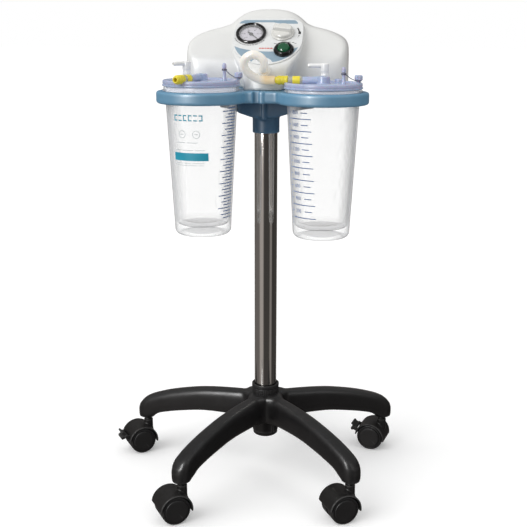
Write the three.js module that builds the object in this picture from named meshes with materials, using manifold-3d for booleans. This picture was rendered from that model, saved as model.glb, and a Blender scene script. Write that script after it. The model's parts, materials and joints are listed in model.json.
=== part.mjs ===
// A hospital suction pump that stands on a pole with five castors.
// A white casing holds the motor, the piston pump and the sloped control panel. It sits on a light blue
// holder with two rings, and a clear two-litre canister with a liner and a lid hangs in each ring.
// Units are millimetres, +Z is up, and the controls face -Y. The part's origin is on the floor, under
// the middle of the whole trolley's box.

import * as THREE from "three";
import { mergeVertices } from "three/addons/utils/BufferGeometryUtils.js";
import Module from "manifold-3d";

const wasm = await Module();
wasm.setup();

// ---------------------------------------------------------------- driving dimensions

const GAP = 0.3; // left between two pieces that touch
const RUNNING_GAP = 0.4; // left between a piece and the one that turns in it

// Trolley
const STEM_CIRCLE = 240; // radius of the circle that the five castor stems stand on
const ARM_COUNT = 5;
const BASE_TURN = 7.8; // degrees that the base is turned against the head
const ARM_UNDERSIDE = 67; // height of the boss that each castor stem goes into
const HUB_TOP = 147;
const HUB_BOTTOM = 72;
const POLE_R = 20;
const POLE_WALL = 1.5;
const POLE_BOTTOM = 84;
const POLE_TOP = 668;
const COLLAR_R = 25;
const COLLAR_HEIGHT = 19;

// Castor, in its own frame: stem axis at the origin, wheels trailing towards +X
const WHEEL_R = 25;
const WHEEL_SIDES = 16;
const WHEEL_INNER_FACE = 3.2; // from the middle plane to the wheel's inner face
const WHEEL_OUTER_FACE = 24.2;
const AXLE_R = 3.8;
const TRAIL = 18;
const HOOD_R = 29;
const HOOD_WELL_R = 26.6;
const HOOD_HALF_WIDTH = 25;
const HOOD_WEB_HALF = 2.6;
const HOOD_TOP = 60.8;
const STEM_R = 5;
const STEM_PIN_R = 3.6; // of the pin that the hood turns on
const STEM_NECK_R = 7.5;
const PEDAL_PIVOT_R = 33.8; // from the wheel axle to the brake pedal's pivot
const PEDAL_PIVOT_ANGLE = 20;
const PEDAL_HALF_WIDTH = 12.2;
const PEDAL_BARREL_R = 3.6;
const PEDAL_PIN_R = 1.6;
const PEDAL_RAISED = 28; // degrees that the released pedal stands above level

// The direction each castor trails at rest, in degrees, and which castors have a brake
const CASTORS = [
  { name: "rear", trails: 202, brake: false },
  { name: "left", trails: 213.5, brake: true },
  { name: "front_left", trails: 212.5, brake: false },
  { name: "front_right", trails: 208.5, brake: false },
  { name: "right", trails: 165.5, brake: true },
];

// Holder and bracket
const CANISTER_X = 101.5;
const CANISTER_Y = -56;
const RING_R = 75;
const RING_HOLE_R = 62.5;
const HOLDER_TOP = 701;
const HOLDER_BOTTOM = 681;
const TRAY_BOTTOM = 693;
const BRIDGE_FRONT = -66;
const TRAY_BACK = 118;
const SOCKET_R = 23.2;
const SOCKET_BOTTOM = 627;
const SCREW_Z = 640;

// Canister
const JAR_BOTTOM = 460;
const JAR_BASE_R = 48;
const JAR_TOP_R = 60.5;
const JAR_WALL = 2.4;
const JAR_RIM_R = 64.5;
const LINER_WALL = 0.8;
const LID_R = 64;
const LID_TOP = 720.5;
const LID_BAND = 10; // height of the lid's coloured band
const JAR_TOP = LID_TOP - LID_BAND - GAP;
const PORT_Z = LID_TOP + 3;
const PORT_END = 34; // from the lid's middle to the end of its port
const SLEEVE_END = 58;
const CONNECTOR_END = 79.5;
const ELBOW_OFFSET = 28;
// The lids are pressed down by different amounts.
const LIDS = [
  { side: "left", x: -CANISTER_X, drop: 1.5, turn: 70, elbowTurn: -20, capAt: [63, -1] },
  { side: "right", x: CANISTER_X, drop: 4.5, turn: 0, elbowTurn: 0, capAt: [57, 0] },
];

// Pump head
const PUMP_HALF_WIDTH = 142;
const PUMP_BOTTOM = HOLDER_TOP + GAP;
const BASE_PLATE = 4;
const PUMP_TOP = 833.5;
const PUMP_FRONT = 10;
const PUMP_BACK = 122;
const CASING_WALL = 3;
const PANEL_TILT = 39; // degrees from level
const PANEL_CENTRE = [0, 13, 781];
const BEZEL_R = 62;
const BEZEL_HIGH = 61; // half of the bezel's height above its middle
const PANEL_INSET = 5; // of the panel inside the bezel
const PANEL_THICK = 2.5;
const NOSE_FRONT = -46;
const NOZZLE = [4, NOSE_FRONT, 735];
const HOSE_R = 7;
const GAUGE_AT = [-29.5, 17];
const KNOB_AT = [25, 19];
const SWITCH_AT = [30.5, -25];
const ROCKER_TILT = 8; // degrees that the switch leans in its off position
const NEEDLE_REST = -134; // degrees from straight up, at no vacuum
const INLET_AT = [70, PUMP_BACK, 730];

// Piston pump inside the casing: the crank turns about an axis along X
const CRANK_AXIS = [-24, 86, 742];
const CRANK_THROW = 4;
const ROD_X = -15.5;
const ROD_LENGTH = 40;
const PISTON_R = 11;
const BORE_R = PISTON_R + CRANK_THROW + 0.8;

const RAD = Math.PI / 180;
const PEDAL_PIVOT = [TRAIL + PEDAL_PIVOT_R * Math.cos(PEDAL_PIVOT_ANGLE * RAD), 0,
  WHEEL_R + PEDAL_PIVOT_R * Math.sin(PEDAL_PIVOT_ANGLE * RAD)];

// ---------------------------------------------------------------- helpers

// A closed geometry as a solid that can be joined and cut.
function solid(geometry) {
  const bare = new THREE.BufferGeometry().setAttribute("position", geometry.attributes.position.clone());
  if (geometry.index) bare.setIndex(geometry.index.clone());
  const merged = mergeVertices(bare, 1e-3);
  const vertProperties = merged.attributes.position.array;
  const make = (triVerts) => new wasm.Manifold(new wasm.Mesh({ numProp: 3, vertProperties, triVerts }));
  const triangles = new Uint32Array(merged.index.array);
  const made = make(triangles);
  return made.volume() >= 0 ? made : make(triangles.reverse());
}

function union(...solids) {
  return solids.reduce((all, next) => all.add(next));
}

// A named mesh from a solid.
function piece(name, body, material, parent) {
  const mesh = body.getMesh();
  const geometry = new THREE.BufferGeometry();
  geometry.setAttribute("position", new THREE.BufferAttribute(new Float32Array(mesh.vertProperties), 3));
  geometry.setIndex(new THREE.BufferAttribute(new Uint32Array(mesh.triVerts), 1));
  geometry.computeVertexNormals();
  const made = new THREE.Mesh(geometry, material);
  made.name = name;
  parent.add(made);
  return made;
}

// A body turned about Z, from [radius, height] points.
function turned(points, sides = 32, startAngle = 0) {
  const profile = points.map(([r, z]) => new THREE.Vector2(r, z));
  return new THREE.LatheGeometry(profile, sides).rotateX(Math.PI / 2).rotateZ(startAngle);
}

function rod(radius, low, high, sides = 24, startAngle = 0) {
  return turned([[0, low], [radius, low], [radius, high], [0, high]], sides, startAngle);
}

function block(x0, x1, y0, y1, z0, z1) {
  const box = new THREE.BoxGeometry(x1 - x0, y1 - y0, z1 - z0);
  return box.translate((x0 + x1) / 2, (y0 + y1) / 2, (z0 + z1) / 2);
}

// Turns a geometry made about Z so that its axis lies along X or Y.
const alongX = (geometry) => geometry.rotateY(Math.PI / 2);
const alongY = (geometry) => geometry.rotateX(-Math.PI / 2);

function extruded(shape, depth, steps) {
  return new THREE.ExtrudeGeometry(shape, { depth, curveSegments: steps, bevelEnabled: false });
}

// A flat outline in X and Z, given a thickness along Y from y0 to y1.
function slab(shape, y0, y1, steps = 6) {
  return extruded(shape, y1 - y0, steps).rotateX(Math.PI / 2).translate(0, y1, 0);
}

// A flat outline in X and Y, given a height from z0 to z1.
function plate(shape, z0, z1, steps = 6) {
  return extruded(shape, z1 - z0, steps).translate(0, 0, z0);
}

function roundedRectangle(x0, x1, y0, y1, radius) {
  const shape = new THREE.Shape();
  shape.absarc(x1 - radius, y1 - radius, radius, 0, Math.PI / 2);
  shape.absarc(x0 + radius, y1 - radius, radius, Math.PI / 2, Math.PI);
  shape.absarc(x0 + radius, y0 + radius, radius, Math.PI, 1.5 * Math.PI);
  shape.absarc(x1 - radius, y0 + radius, radius, 1.5 * Math.PI, 2 * Math.PI);
  return shape;
}

// A solid skin over rings of points that all hold the same number of points, closed flat at both ends.
function loft(rings) {
  const sides = rings[0].length;
  const positions = [];
  const triangle = (...corners) => corners.forEach((c) => positions.push(...c));
  for (let i = 0; i + 1 < rings.length; i++)
    for (let j = 0; j < sides; j++) {
      const k = (j + 1) % sides;
      triangle(rings[i][j], rings[i + 1][k], rings[i + 1][j]);
      triangle(rings[i][j], rings[i][k], rings[i + 1][k]);
    }
  for (const [ring, turn] of [[rings[0], 1], [rings.at(-1), -1]]) {
    const middle = [0, 1, 2].map((axis) => ring.reduce((sum, p) => sum + p[axis], 0) / sides);
    for (let j = 0; j < sides; j++) {
      const next = ring[(j + 1) % sides];
      if (turn > 0) triangle(middle, next, ring[j]);
      else triangle(middle, ring[j], next);
    }
  }
  return new THREE.BufferGeometry().setAttribute("position", new THREE.Float32BufferAttribute(positions, 3));
}

// A round tube along a smooth curve through the points.
function tube(points, radius, steps, sides = 10) {
  const path = new THREE.CatmullRomCurve3(points.map((p) => new THREE.Vector3(...p)), false, "centripetal");
  const section = new THREE.Shape();
  section.absarc(0, 0, radius, 0, 2 * Math.PI);
  const along = { steps, extrudePath: path, curveSegments: sides, bevelEnabled: false };
  return new THREE.ExtrudeGeometry(section, along);
}

const mix = (a, b, t) => a + (b - a) * t;

// The value at x of the straight lines through [x, value] points.
function along(points, x) {
  const i = Math.max(1, points.findIndex((p) => p[0] >= x));
  const [[x0, v0], [x1, v1]] = [points[i - 1], points[i]];
  return mix(v0, v1, (x - x0) / (x1 - x0));
}

// ---------------------------------------------------------------- materials

const finish = (color, roughness, metalness = 0, opacity = 1) =>
  new THREE.MeshStandardMaterial({ color, roughness, metalness, opacity, transparent: opacity < 1 });

const BLACK_PLASTIC = finish(0x1c1b1d, 0.45);
const TYRE = finish(0x141416, 0.6);
const STEEL = finish(0x9a9a9c, 0.35, 1);
const CHROME = finish(0xb9b4ae, 0.12, 1);
const NAVY = finish(0x2c4a68, 0.5);
const SKY = finish(0x8fb8d6, 0.3);
const CLEAR = finish(0xeaf2f6, 0.1, 0, 0.35);
const FILM = finish(0xf4f4f2, 0.3, 0, 0.4);
const LAVENDER = finish(0xa9acd8, 0.4);
const WHITE = finish(0xf1f0ee, 0.4);
const CASING = finish(0xf3f2ef, 0.45);
const YELLOW = finish(0xf2e14c, 0.4);
const PANEL = finish(0xf6f7f8, 0.35);
const SCREEN_BLACK = finish(0x17171a, 0.3);
const DIAL = finish(0xe6e4ea, 0.4);
const GREEN = finish(0x0f8f57, 0.3);
const SILICONE = finish(0xeae3d6, 0.35, 0, 0.8);
const ALUMINIUM = finish(0xa8abad, 0.45, 1);

// ---------------------------------------------------------------- trolley

// Five arms that droop from the hub and drop at their tips, around a sleeve for the pole.
function baseStar() {
  const sides = 10;
  const top = [[0, 146.5], [28, 146], [60, 145], [120, 140], [158, 133.5], [214, 118], [240, 106], [252, 92]];
  const bottom = [[0, 95], [28, 96], [60, 98], [120, 97.5], [158, 92.5], [214, 79], [228, ARM_UNDERSIDE],
    [252, ARM_UNDERSIDE]];
  const halfWidth = [[0, 17], [60, 21], [120, 20.5], [190, 19], [230, 17.5], [244, 16.5], [252, 11]];
  const stations = [6, 60, 120, 158, 190, 214, 228, 240, 248, 252];
  const ring = (r) => {
    const [high, low, wide] = [along(top, r), along(bottom, r), along(halfWidth, r)];
    return Array.from({ length: sides }, (_, i) => {
      const angle = (2 * Math.PI * (i + 0.5)) / sides;
      const soft = (v) => Math.sign(v) * Math.abs(v) ** 0.7;
      return [r, wide * soft(Math.cos(angle)), (high + low) / 2 + ((high - low) / 2) * soft(Math.sin(angle))];
    });
  };
  const arm = loft(stations.map(ring));
  const socket = rod(STEM_R + GAP, ARM_UNDERSIDE - 6, ARM_UNDERSIDE + 26, 16).translate(STEM_CIRCLE, 0, 0);
  const hub = turned([[0, HUB_BOTTOM], [23, HUB_BOTTOM], [24, 96], [34, 104], [34, 138], [27, HUB_TOP],
    [0, HUB_TOP]], 24);
  const spider = Array.from({ length: ARM_COUNT }, (_, i) => {
    const turn = i * ((2 * Math.PI) / ARM_COUNT);
    return solid(arm.clone().rotateZ(turn)).subtract(solid(socket.clone().rotateZ(turn)));
  });
  return union(solid(hub), ...spider).subtract(solid(rod(POLE_R + GAP, HUB_BOTTOM - 1, HUB_TOP + 1, 32)));
}

// The cap that closes the sleeve and the pole from below, with a spigot inside the pole.
function hubPlug() {
  const spigot = POLE_R - POLE_WALL - GAP;
  return solid(turned([[0, 65], [19, 65], [22, 67], [22, HUB_BOTTOM - GAP], [spigot, HUB_BOTTOM - GAP],
    [spigot, POLE_BOTTOM + 12], [0, POLE_BOTTOM + 12]], 20));
}

function pole() {
  const inner = POLE_R - POLE_WALL;
  const wall = [[inner, POLE_BOTTOM], [POLE_R, POLE_BOTTOM], [POLE_R, POLE_TOP], [inner, POLE_TOP]];
  return solid(turned([...wall, wall[0]], 32));
}

function poleCollar() {
  const [inner, low] = [POLE_R + GAP, HUB_TOP + GAP];
  const high = low + COLLAR_HEIGHT;
  const wall = [[inner, low], [COLLAR_R - 1, low], [COLLAR_R, low + 2], [COLLAR_R, high - 1.5],
    [COLLAR_R - 1.5, high], [inner, high]];
  return solid(turned([...wall, wall[0]], 20));
}

// The pin that a castor turns on: its top is pressed into the arm, its bottom stands in the hood.
function castorStem() {
  const flange = ARM_UNDERSIDE - GAP;
  const [low, high] = [50.4, ARM_UNDERSIDE + 25];
  const pin = [[0, low], [STEM_PIN_R, low], [STEM_PIN_R, HOOD_TOP + GAP]];
  const neck = [[STEM_NECK_R, HOOD_TOP + GAP], [STEM_NECK_R, flange]];
  return solid(turned([...pin, ...neck, [STEM_R, flange], [STEM_R, high], [0, high]], 12));
}

// A half drum over both wheels with a middle web, the axle, and a boss for the stem.
function castorHood(brake) {
  const drum = new THREE.Shape();
  drum.absarc(0, 0, HOOD_R, -32 * RAD, 182 * RAD);
  const place = (geometry) => geometry.translate(TRAIL, 0, WHEEL_R);
  const cover = place(slab(drum, -HOOD_HALF_WIDTH, HOOD_HALF_WIDTH, 9));
  const well = (y0, y1) => solid(place(alongY(rod(HOOD_WELL_R, y0, y1, 18))));
  let hood = solid(cover)
    .add(solid(rod(8.5, 40, HOOD_TOP, 16)))
    .subtract(well(HOOD_WEB_HALF, HOOD_HALF_WIDTH + 1))
    .subtract(well(-HOOD_HALF_WIDTH - 1, -HOOD_WEB_HALF))
    .add(solid(place(alongY(rod(AXLE_R, -21, 21, 12)))))
    .subtract(solid(rod(STEM_PIN_R + RUNNING_GAP, 50, HOOD_TOP + 1, 12)));
  if (brake) {
    for (const y0 of [PEDAL_HALF_WIDTH + RUNNING_GAP, -PEDAL_HALF_WIDTH - RUNNING_GAP - 3]) {
      const neck = block(-6.4, 0, y0, y0 + 3, -3.4, 3.4).rotateY(-PEDAL_PIVOT_ANGLE * RAD);
      neck.translate(...PEDAL_PIVOT);
      const eye = alongY(rod(PEDAL_BARREL_R, y0, y0 + 3, 16)).translate(...PEDAL_PIVOT);
      hood = hood.add(solid(neck)).add(solid(eye));
    }
    const pin = alongY(rod(PEDAL_PIN_R, -PEDAL_HALF_WIDTH - 2, PEDAL_HALF_WIDTH + 2, 12));
    hood = hood.add(solid(pin.translate(...PEDAL_PIVOT)));
  }
  return hood;
}

// A wheel with a closed outer face, so its axle end doesn't show. A flat of the tread rests on the floor.
function castorWheel() {
  const r = WHEEL_R / Math.cos(Math.PI / WHEEL_SIDES);
  const [inner, outer] = [WHEEL_INNER_FACE, WHEEL_OUTER_FACE];
  return solid(alongY(turned([[0, 21.6], [AXLE_R + RUNNING_GAP, 21.6], [AXLE_R + RUNNING_GAP, inner],
    [r - 1.5, inner], [r, inner + 1.5], [r, outer - 3], [r - 3, outer], [0, outer]],
    WHEEL_SIDES, Math.PI / WHEEL_SIDES)));
}

// The foot pedal that presses on the wheels, made about its pivot with its blade towards +X.
function brakePedal() {
  const barrel = alongY(rod(PEDAL_BARREL_R, -PEDAL_HALF_WIDTH, PEDAL_HALF_WIDTH, 16));
  const blade = new THREE.Shape();
  blade.moveTo(0, -1.2);
  blade.lineTo(12, -1.6);
  blade.absarc(13.6, 0.2, 1.8, -Math.PI / 2, Math.PI / 2);
  blade.lineTo(0, 2.4);
  // The lobe below the pivot is what presses on the wheels
  const lobe = new THREE.Shape();
  lobe.absarc(0, 0, PEDAL_BARREL_R, -14 * RAD, 166 * RAD);
  lobe.absarc(1.8, -7.2, PEDAL_BARREL_R, 166 * RAD, 346 * RAD);
  const half = PEDAL_HALF_WIDTH - 1;
  return solid(barrel)
    .add(solid(slab(blade, -half, half)))
    .add(solid(slab(lobe, -half, half, 8)))
    .subtract(solid(alongY(rod(PEDAL_PIN_R + RUNNING_GAP, -PEDAL_HALF_WIDTH - 1, PEDAL_HALF_WIDTH + 1, 12))));
}

function addCastor(parent, { name, trails, brake }, armAngle) {
  const group = new THREE.Group();
  group.position.set(STEM_CIRCLE * Math.cos(armAngle), STEM_CIRCLE * Math.sin(armAngle), 0);
  group.rotation.z = trails * RAD;
  parent.add(group);
  piece(`castor_${name}_stem`, castorStem(), STEEL, group);
  piece(`castor_${name}_hood`, castorHood(brake), BLACK_PLASTIC, group);
  for (const [suffix, turn] of [["a", 0], ["b", Math.PI]]) {
    const wheel = piece(`castor_${name}_wheel_${suffix}`, castorWheel(), TYRE, group);
    wheel.position.set(TRAIL, 0, WHEEL_R);
    wheel.rotation.z = turn;
  }
  if (brake) {
    const pedal = piece(`castor_${name}_brake_pedal`, brakePedal(), BLACK_PLASTIC, group);
    pedal.position.set(...PEDAL_PIVOT);
    pedal.rotation.y = -PEDAL_RAISED * RAD;
  }
}

// ---------------------------------------------------------------- bracket and holder

// Copies of a geometry made about Z, as a solid about each canister's axis.
const aroundJars = (geometry) =>
  [-CANISTER_X, CANISTER_X].map((x) => solid(geometry.clone().translate(x, CANISTER_Y, 0)));

// A socket on the pole under a wing that spreads below the tray and is scooped out around both jars.
function poleBracket() {
  const wing = new THREE.Shape();
  wing.moveTo(-82, HOLDER_BOTTOM - GAP);
  wing.lineTo(-82, 668);
  wing.quadraticCurveTo(-50, 664, -SOCKET_R, 655);
  wing.lineTo(SOCKET_R, 655);
  wing.quadraticCurveTo(50, 664, 82, 668);
  wing.lineTo(82, HOLDER_BOTTOM - GAP);
  const scoop = rod(JAR_TOP_R + 3.5, 640, 690, 30);
  return solid(slab(wing, -30, 62))
    .add(solid(rod(SOCKET_R, SOCKET_BOTTOM, 660, 32)))
    .subtract(union(...aroundJars(scoop)))
    .subtract(solid(rod(POLE_R + GAP, SOCKET_BOTTOM - 1, POLE_TOP + GAP, 32)))
    .subtract(solid(alongY(rod(3.3, 10, SOCKET_R + 1, 12)).translate(0, 0, SCREW_Z)));
}

// The screw that locks the socket on the pole from behind.
function bracketScrew() {
  const shank = [[0, POLE_R + GAP], [3, POLE_R + GAP], [3, SOCKET_R + GAP], [5.5, SOCKET_R + GAP]];
  const head = [[5.5, SOCKET_R + 6], [2.5, SOCKET_R + 6], [2.5, SOCKET_R + 3], [0, SOCKET_R + 3]];
  return solid(alongY(turned([...shank, ...head], 12)).translate(0, 0, SCREW_Z));
}

// Two rings for the canisters, joined by a bridge in front and by the tray that the pump stands on.
function canisterHolder() {
  const rings = aroundJars(rod(RING_R, HOLDER_BOTTOM, HOLDER_TOP, 30));
  const holes = aroundJars(rod(RING_HOLE_R, HOLDER_BOTTOM - 10, HOLDER_TOP + 10, 30));
  const bridge = block(-52, 52, BRIDGE_FRONT, 60, HOLDER_BOTTOM, HOLDER_TOP);
  const tray = plate(roundedRectangle(-128, 128, -30, TRAY_BACK, 30), TRAY_BOTTOM, HOLDER_TOP);
  const groove = block(-3, 3, BRIDGE_FRONT - 1, BRIDGE_FRONT + 3, HOLDER_BOTTOM - 10, HOLDER_TOP - 3);
  return union(...rings, solid(bridge), solid(tray)).subtract(union(...holes)).subtract(solid(groove));
}

// ---------------------------------------------------------------- canisters

// A tapered clear cup with a thick base and a rim that hangs on the holder's ring.
function jar(top) {
  const outer = [[0, JAR_BOTTOM + 3], [34, JAR_BOTTOM + 3], [38, JAR_BOTTOM], [JAR_BASE_R - 3, JAR_BOTTOM],
    [JAR_BASE_R, JAR_BOTTOM + 3], [JAR_TOP_R, HOLDER_TOP - 1], [JAR_TOP_R, HOLDER_TOP + GAP],
    [JAR_RIM_R, HOLDER_TOP + GAP], [JAR_RIM_R, top]];
  const inner = [[JAR_TOP_R - JAR_WALL, top], [JAR_BASE_R - JAR_WALL, JAR_BOTTOM + 20],
    [JAR_BASE_R - JAR_WALL - 4, JAR_BOTTOM + 16], [0, JAR_BOTTOM + 16]];
  return solid(turned([...outer, ...inner], 24));
}

// The disposable liner: a film bag with the jar's inner shape, welded to the lid.
function liner(top) {
  const [wide, narrow, low] = [JAR_TOP_R - JAR_WALL - 1.6, JAR_BASE_R - JAR_WALL - 2.2, JAR_BOTTOM + 18.5];
  return solid(turned([[0, low], [narrow - 4, low], [narrow, low + 4], [wide, HOLDER_TOP], [wide, top],
    [wide - LINER_WALL, top], [wide - LINER_WALL, HOLDER_TOP], [narrow - LINER_WALL, low + 4.6],
    [narrow - 4.4, low + LINER_WALL], [0, low + LINER_WALL]], 20));
}

// The lid in its own frame: a disc with a raised edge, a port towards -X, a stub for the elbow and a post.
function lid() {
  const low = LID_TOP - LID_BAND;
  const rim = [[LID_R, low], [LID_R, LID_TOP - 2], [LID_R - 2, LID_TOP], [LID_R - 8, LID_TOP]];
  const disc = turned([[0, low], ...rim, [LID_R - 11, LID_TOP - 3], [0, LID_TOP - 3]], 24);
  const neck = rod(11, low + 1, PORT_Z + 6.5, 20);
  const port = alongX(rod(6.2, -PORT_END, 0, 12)).translate(0, 0, PORT_Z);
  const stub = rod(6.8, low + 1, LID_TOP + 7, 16).translate(0, ELBOW_OFFSET, 0);
  const post = turned([[0, low + 1], [3.4, low + 1], [2.4, LID_TOP + 25], [0, LID_TOP + 26]], 10);
  const notch = alongX(rod(7.9, -LID_R - 1, -PORT_END - GAP / 2, 16)).translate(0, 0, PORT_Z);
  return union(solid(disc).subtract(solid(notch)), solid(neck), solid(port), solid(stub),
    solid(post.translate(34, -25, 0)));
}

// A clear sleeve between the lid's port and the connector.
function portAdapter() {
  return solid(alongX(rod(6.4, -SLEEVE_END, -PORT_END - GAP, 12)));
}

// The ribbed connector, made along -X. The tube slides up to its small end.
function portConnector() {
  const [tip, foot] = [-CONNECTOR_END, -SLEEVE_END - GAP];
  return solid(alongX(turned([[0, tip], [5, tip], [6.6, tip + 2.5], [6.6, tip + 4.5], [7.5, tip + 5],
    [7.5, foot - 3], [6.8, foot], [0, foot]], 16)));
}

// The white elbow that turns on the lid's stub. Its arm points to -X.
function elbow() {
  const low = LID_TOP + 7 + GAP;
  const high = LID_TOP + 29.5;
  const upright = turned([[0, low], [7, low], [7, high - 2.5], [5.5, high], [0, high]], 16);
  const arm = alongX(turned([[0, -28], [2.8, -28], [3.5, -26], [3.5, 0], [0, 0]], 12));
  return solid(upright).add(solid(arm.translate(0, 0, high - 4)));
}

// The tethered cap that closes the port when the canister is carried away.
function portCap(radius) {
  const low = LID_TOP + GAP;
  const side = [[radius - 1.4, low], [radius, low + 3], [radius, low + 8.5], [radius - 1, low + 9.5]];
  return solid(turned([[0, low], ...side, [0, low + 9.5]], 14));
}

function addCanister(parent, { side, x, drop, turn, elbowTurn, capAt }) {
  const upright = new THREE.Group();
  upright.position.set(x, CANISTER_Y, 0);
  parent.add(upright);
  piece(`${side}_jar`, jar(JAR_TOP - drop), CLEAR, upright);
  piece(`${side}_liner`, liner(JAR_TOP - drop), FILM, upright);
  const top = new THREE.Group();
  top.position.z = -drop;
  top.rotation.z = turn * RAD;
  upright.add(top);
  piece(`${side}_lid`, lid(), LAVENDER, top);
  const port = new THREE.Group();
  port.position.z = PORT_Z;
  top.add(port);
  piece(`${side}_port_adapter`, portAdapter(), CLEAR, port);
  piece(`${side}_connector`, portConnector(), YELLOW, port);
  const white = piece(`${side}_elbow`, elbow(), WHITE, top);
  white.position.y = ELBOW_OFFSET;
  white.rotation.z = elbowTurn * RAD;
  const cap = piece(`${side}_port_cap`, portCap(6.5), LAVENDER, upright);
  cap.position.set(...capAt, -drop);
}

// ---------------------------------------------------------------- pump casing

const panelTilt = PANEL_TILT * RAD;

// A point of the panel's outline, which is round below and broad-shouldered above, shrunk by the inset.
function rimPoint(angle, inset) {
  const [c, s] = [Math.cos(angle), Math.sin(angle)];
  const power = s > 0 ? 5 : 2;
  const [wide, tall] = [BEZEL_R - inset, (s > 0 ? BEZEL_HIGH : BEZEL_R) - inset];
  const r = (Math.abs(c / wide) ** power + Math.abs(s / tall) ** power) ** (-1 / power);
  return new THREE.Vector3(r * c, r * s, 0);
}

// The panel's outline as a plate between two heights above the panel.
function rimPlate(inset, low, high) {
  const count = 40;
  const points = Array.from({ length: count }, (_, i) => rimPoint((2 * Math.PI * i) / count, inset));
  return plate(new THREE.Shape(points.map(({ x, y }) => new THREE.Vector2(x, y))), low, high);
}

// Moves a geometry from the panel's frame, with +X right, +Y up the slope and +Z out, into the head's.
function ontoPanel(geometry) {
  return geometry.rotateX(panelTilt).translate(...PANEL_CENTRE);
}

// The casing's outline from the front, shrunk by the inset.
function frontOutline(inset) {
  const side = PUMP_HALF_WIDTH - inset;
  const shape = new THREE.Shape();
  shape.moveTo(-side, PUMP_BOTTOM - 1);
  shape.lineTo(side, PUMP_BOTTOM - 1);
  shape.lineTo(side, 756);
  shape.bezierCurveTo(side, 784 - inset, 128 - inset, 791 - inset, 104, 798.5 - inset);
  shape.bezierCurveTo(84, 804.5 - inset, 74, 806 - inset, 62, 812 - inset);
  shape.bezierCurveTo(44, 824 - inset, 30, PUMP_TOP - inset, 0, PUMP_TOP - inset);
  shape.bezierCurveTo(-30, PUMP_TOP - inset, -44, 824 - inset, -62, 812 - inset);
  shape.bezierCurveTo(-74, 806 - inset, -84, 804.5 - inset, -104, 798.5 - inset);
  shape.bezierCurveTo(-128 + inset, 791 - inset, -side, 784 - inset, -side, 756);
  return shape;
}

// The casing's outline from the side as [y, z], shrunk by the inset: the front leans back above its foot.
function sideOutline(inset) {
  const [front, back] = [PUMP_FRONT + inset, PUMP_BACK - inset];
  const shape = new THREE.Shape();
  shape.moveTo(front, PUMP_BOTTOM - 2);
  shape.lineTo(back, PUMP_BOTTOM - 2);
  shape.lineTo(back, 770);
  shape.bezierCurveTo(back, 806, 116 - inset, PUMP_TOP + 1 - inset, 92, PUMP_TOP + 1 - inset);
  shape.bezierCurveTo(80, PUMP_TOP + 1 - inset, 72 + inset, 822 - inset, 62 + inset, 811 - inset);
  shape.lineTo(20 + inset, 757);
  shape.quadraticCurveTo(front, 742, front, 726);
  return shape;
}

// The shoulders and the dome: the shape that is inside all three outlines.
function casingBody(inset) {
  const front = solid(slab(frontOutline(inset), -20, 140, 3));
  const fromSide = extruded(sideOutline(inset), 320, 3);
  // X of the outline is the head's Y, and its Y is Z
  fromSide.rotateX(Math.PI / 2).rotateZ(Math.PI / 2).translate(-160, 0, 0);
  const side = PUMP_HALF_WIDTH - inset;
  const plan = roundedRectangle(-side, side, PUMP_FRONT + inset, PUMP_BACK - inset, 34);
  return front.intersect(solid(fromSide)).intersect(solid(plate(plan, PUMP_BOTTOM - 5, PUMP_TOP + 5, 3)));
}

// The console: a tulip that opens from its foot between the lids into the round bezel of the panel.
function casingConsole(inset) {
  const sides = 24;
  const foot = PUMP_BOTTOM - 2;
  const rings = [];
  for (let i = 0; i <= 5; i++) {
    const t = i / 5;
    const flare = t ** 2.1;
    rings.push(Array.from({ length: sides }, (_, j) => {
      const angle = (2 * Math.PI * j) / sides;
      const [c, s] = [Math.cos(angle), Math.sin(angle)];
      const square = Math.max(Math.abs(c), Math.abs(s)) ** 0.55;
      const low = [((33 - inset) * c) / square, 4 + ((-NOSE_FRONT + 4 - inset) * s) / square, foot];
      const rim = rimPoint(angle, inset).setZ(-inset);
      rim.applyAxisAngle(new THREE.Vector3(1, 0, 0), panelTilt);
      const high = [rim.x + PANEL_CENTRE[0], rim.y + PANEL_CENTRE[1], rim.z + PANEL_CENTRE[2]];
      return [mix(low[0], high[0], flare), mix(low[1], high[1], t ** 1.6), mix(low[2], high[2], t)];
    }));
  }
  return solid(loft(rings));
}

function casingCover() {
  const abovePanel = solid(ontoPanel(rimPlate(0, 0, 60)));
  const seat = solid(ontoPanel(rimPlate(PANEL_INSET - GAP, -PANEL_THICK, 5)));
  const window = solid(ontoPanel(rimPlate(PANEL_INSET + 3, -20, 5)));
  const below = solid(block(-200, 200, -100, 200, PUMP_BOTTOM - 20, PUMP_BOTTOM + BASE_PLATE + GAP));
  const [inletX, , inletZ] = INLET_AT;
  const inletHole = block(-14.3, 14.3, PUMP_BACK - 10, PUMP_BACK + 5, -10.3, 10.3).translate(inletX, 0, inletZ);
  const nozzleHole = alongY(rod(4.3, NOSE_FRONT - 5, NOSE_FRONT + 14, 16)).translate(NOZZLE[0], 0, NOZZLE[2]);
  return casingBody(0)
    .add(casingConsole(0))
    .subtract(casingBody(CASING_WALL).add(casingConsole(CASING_WALL)))
    .subtract(union(abovePanel, seat, window, below, solid(inletHole), solid(nozzleHole)));
}

// The floor of the casing, which stands on the tray.
function casingBase() {
  const plan = roundedRectangle(-PUMP_HALF_WIDTH + 1, PUMP_HALF_WIDTH - 1, PUMP_FRONT + 1, PUMP_BACK - 1, 34);
  const nose = roundedRectangle(-33, 33, NOSE_FRONT + 2, 30, 12);
  const [low, high] = [PUMP_BOTTOM, PUMP_BOTTOM + BASE_PLATE];
  return solid(plate(plan, low, high, 3)).add(solid(plate(nose, low, high, 3)));
}

// ---------------------------------------------------------------- control panel

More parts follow.
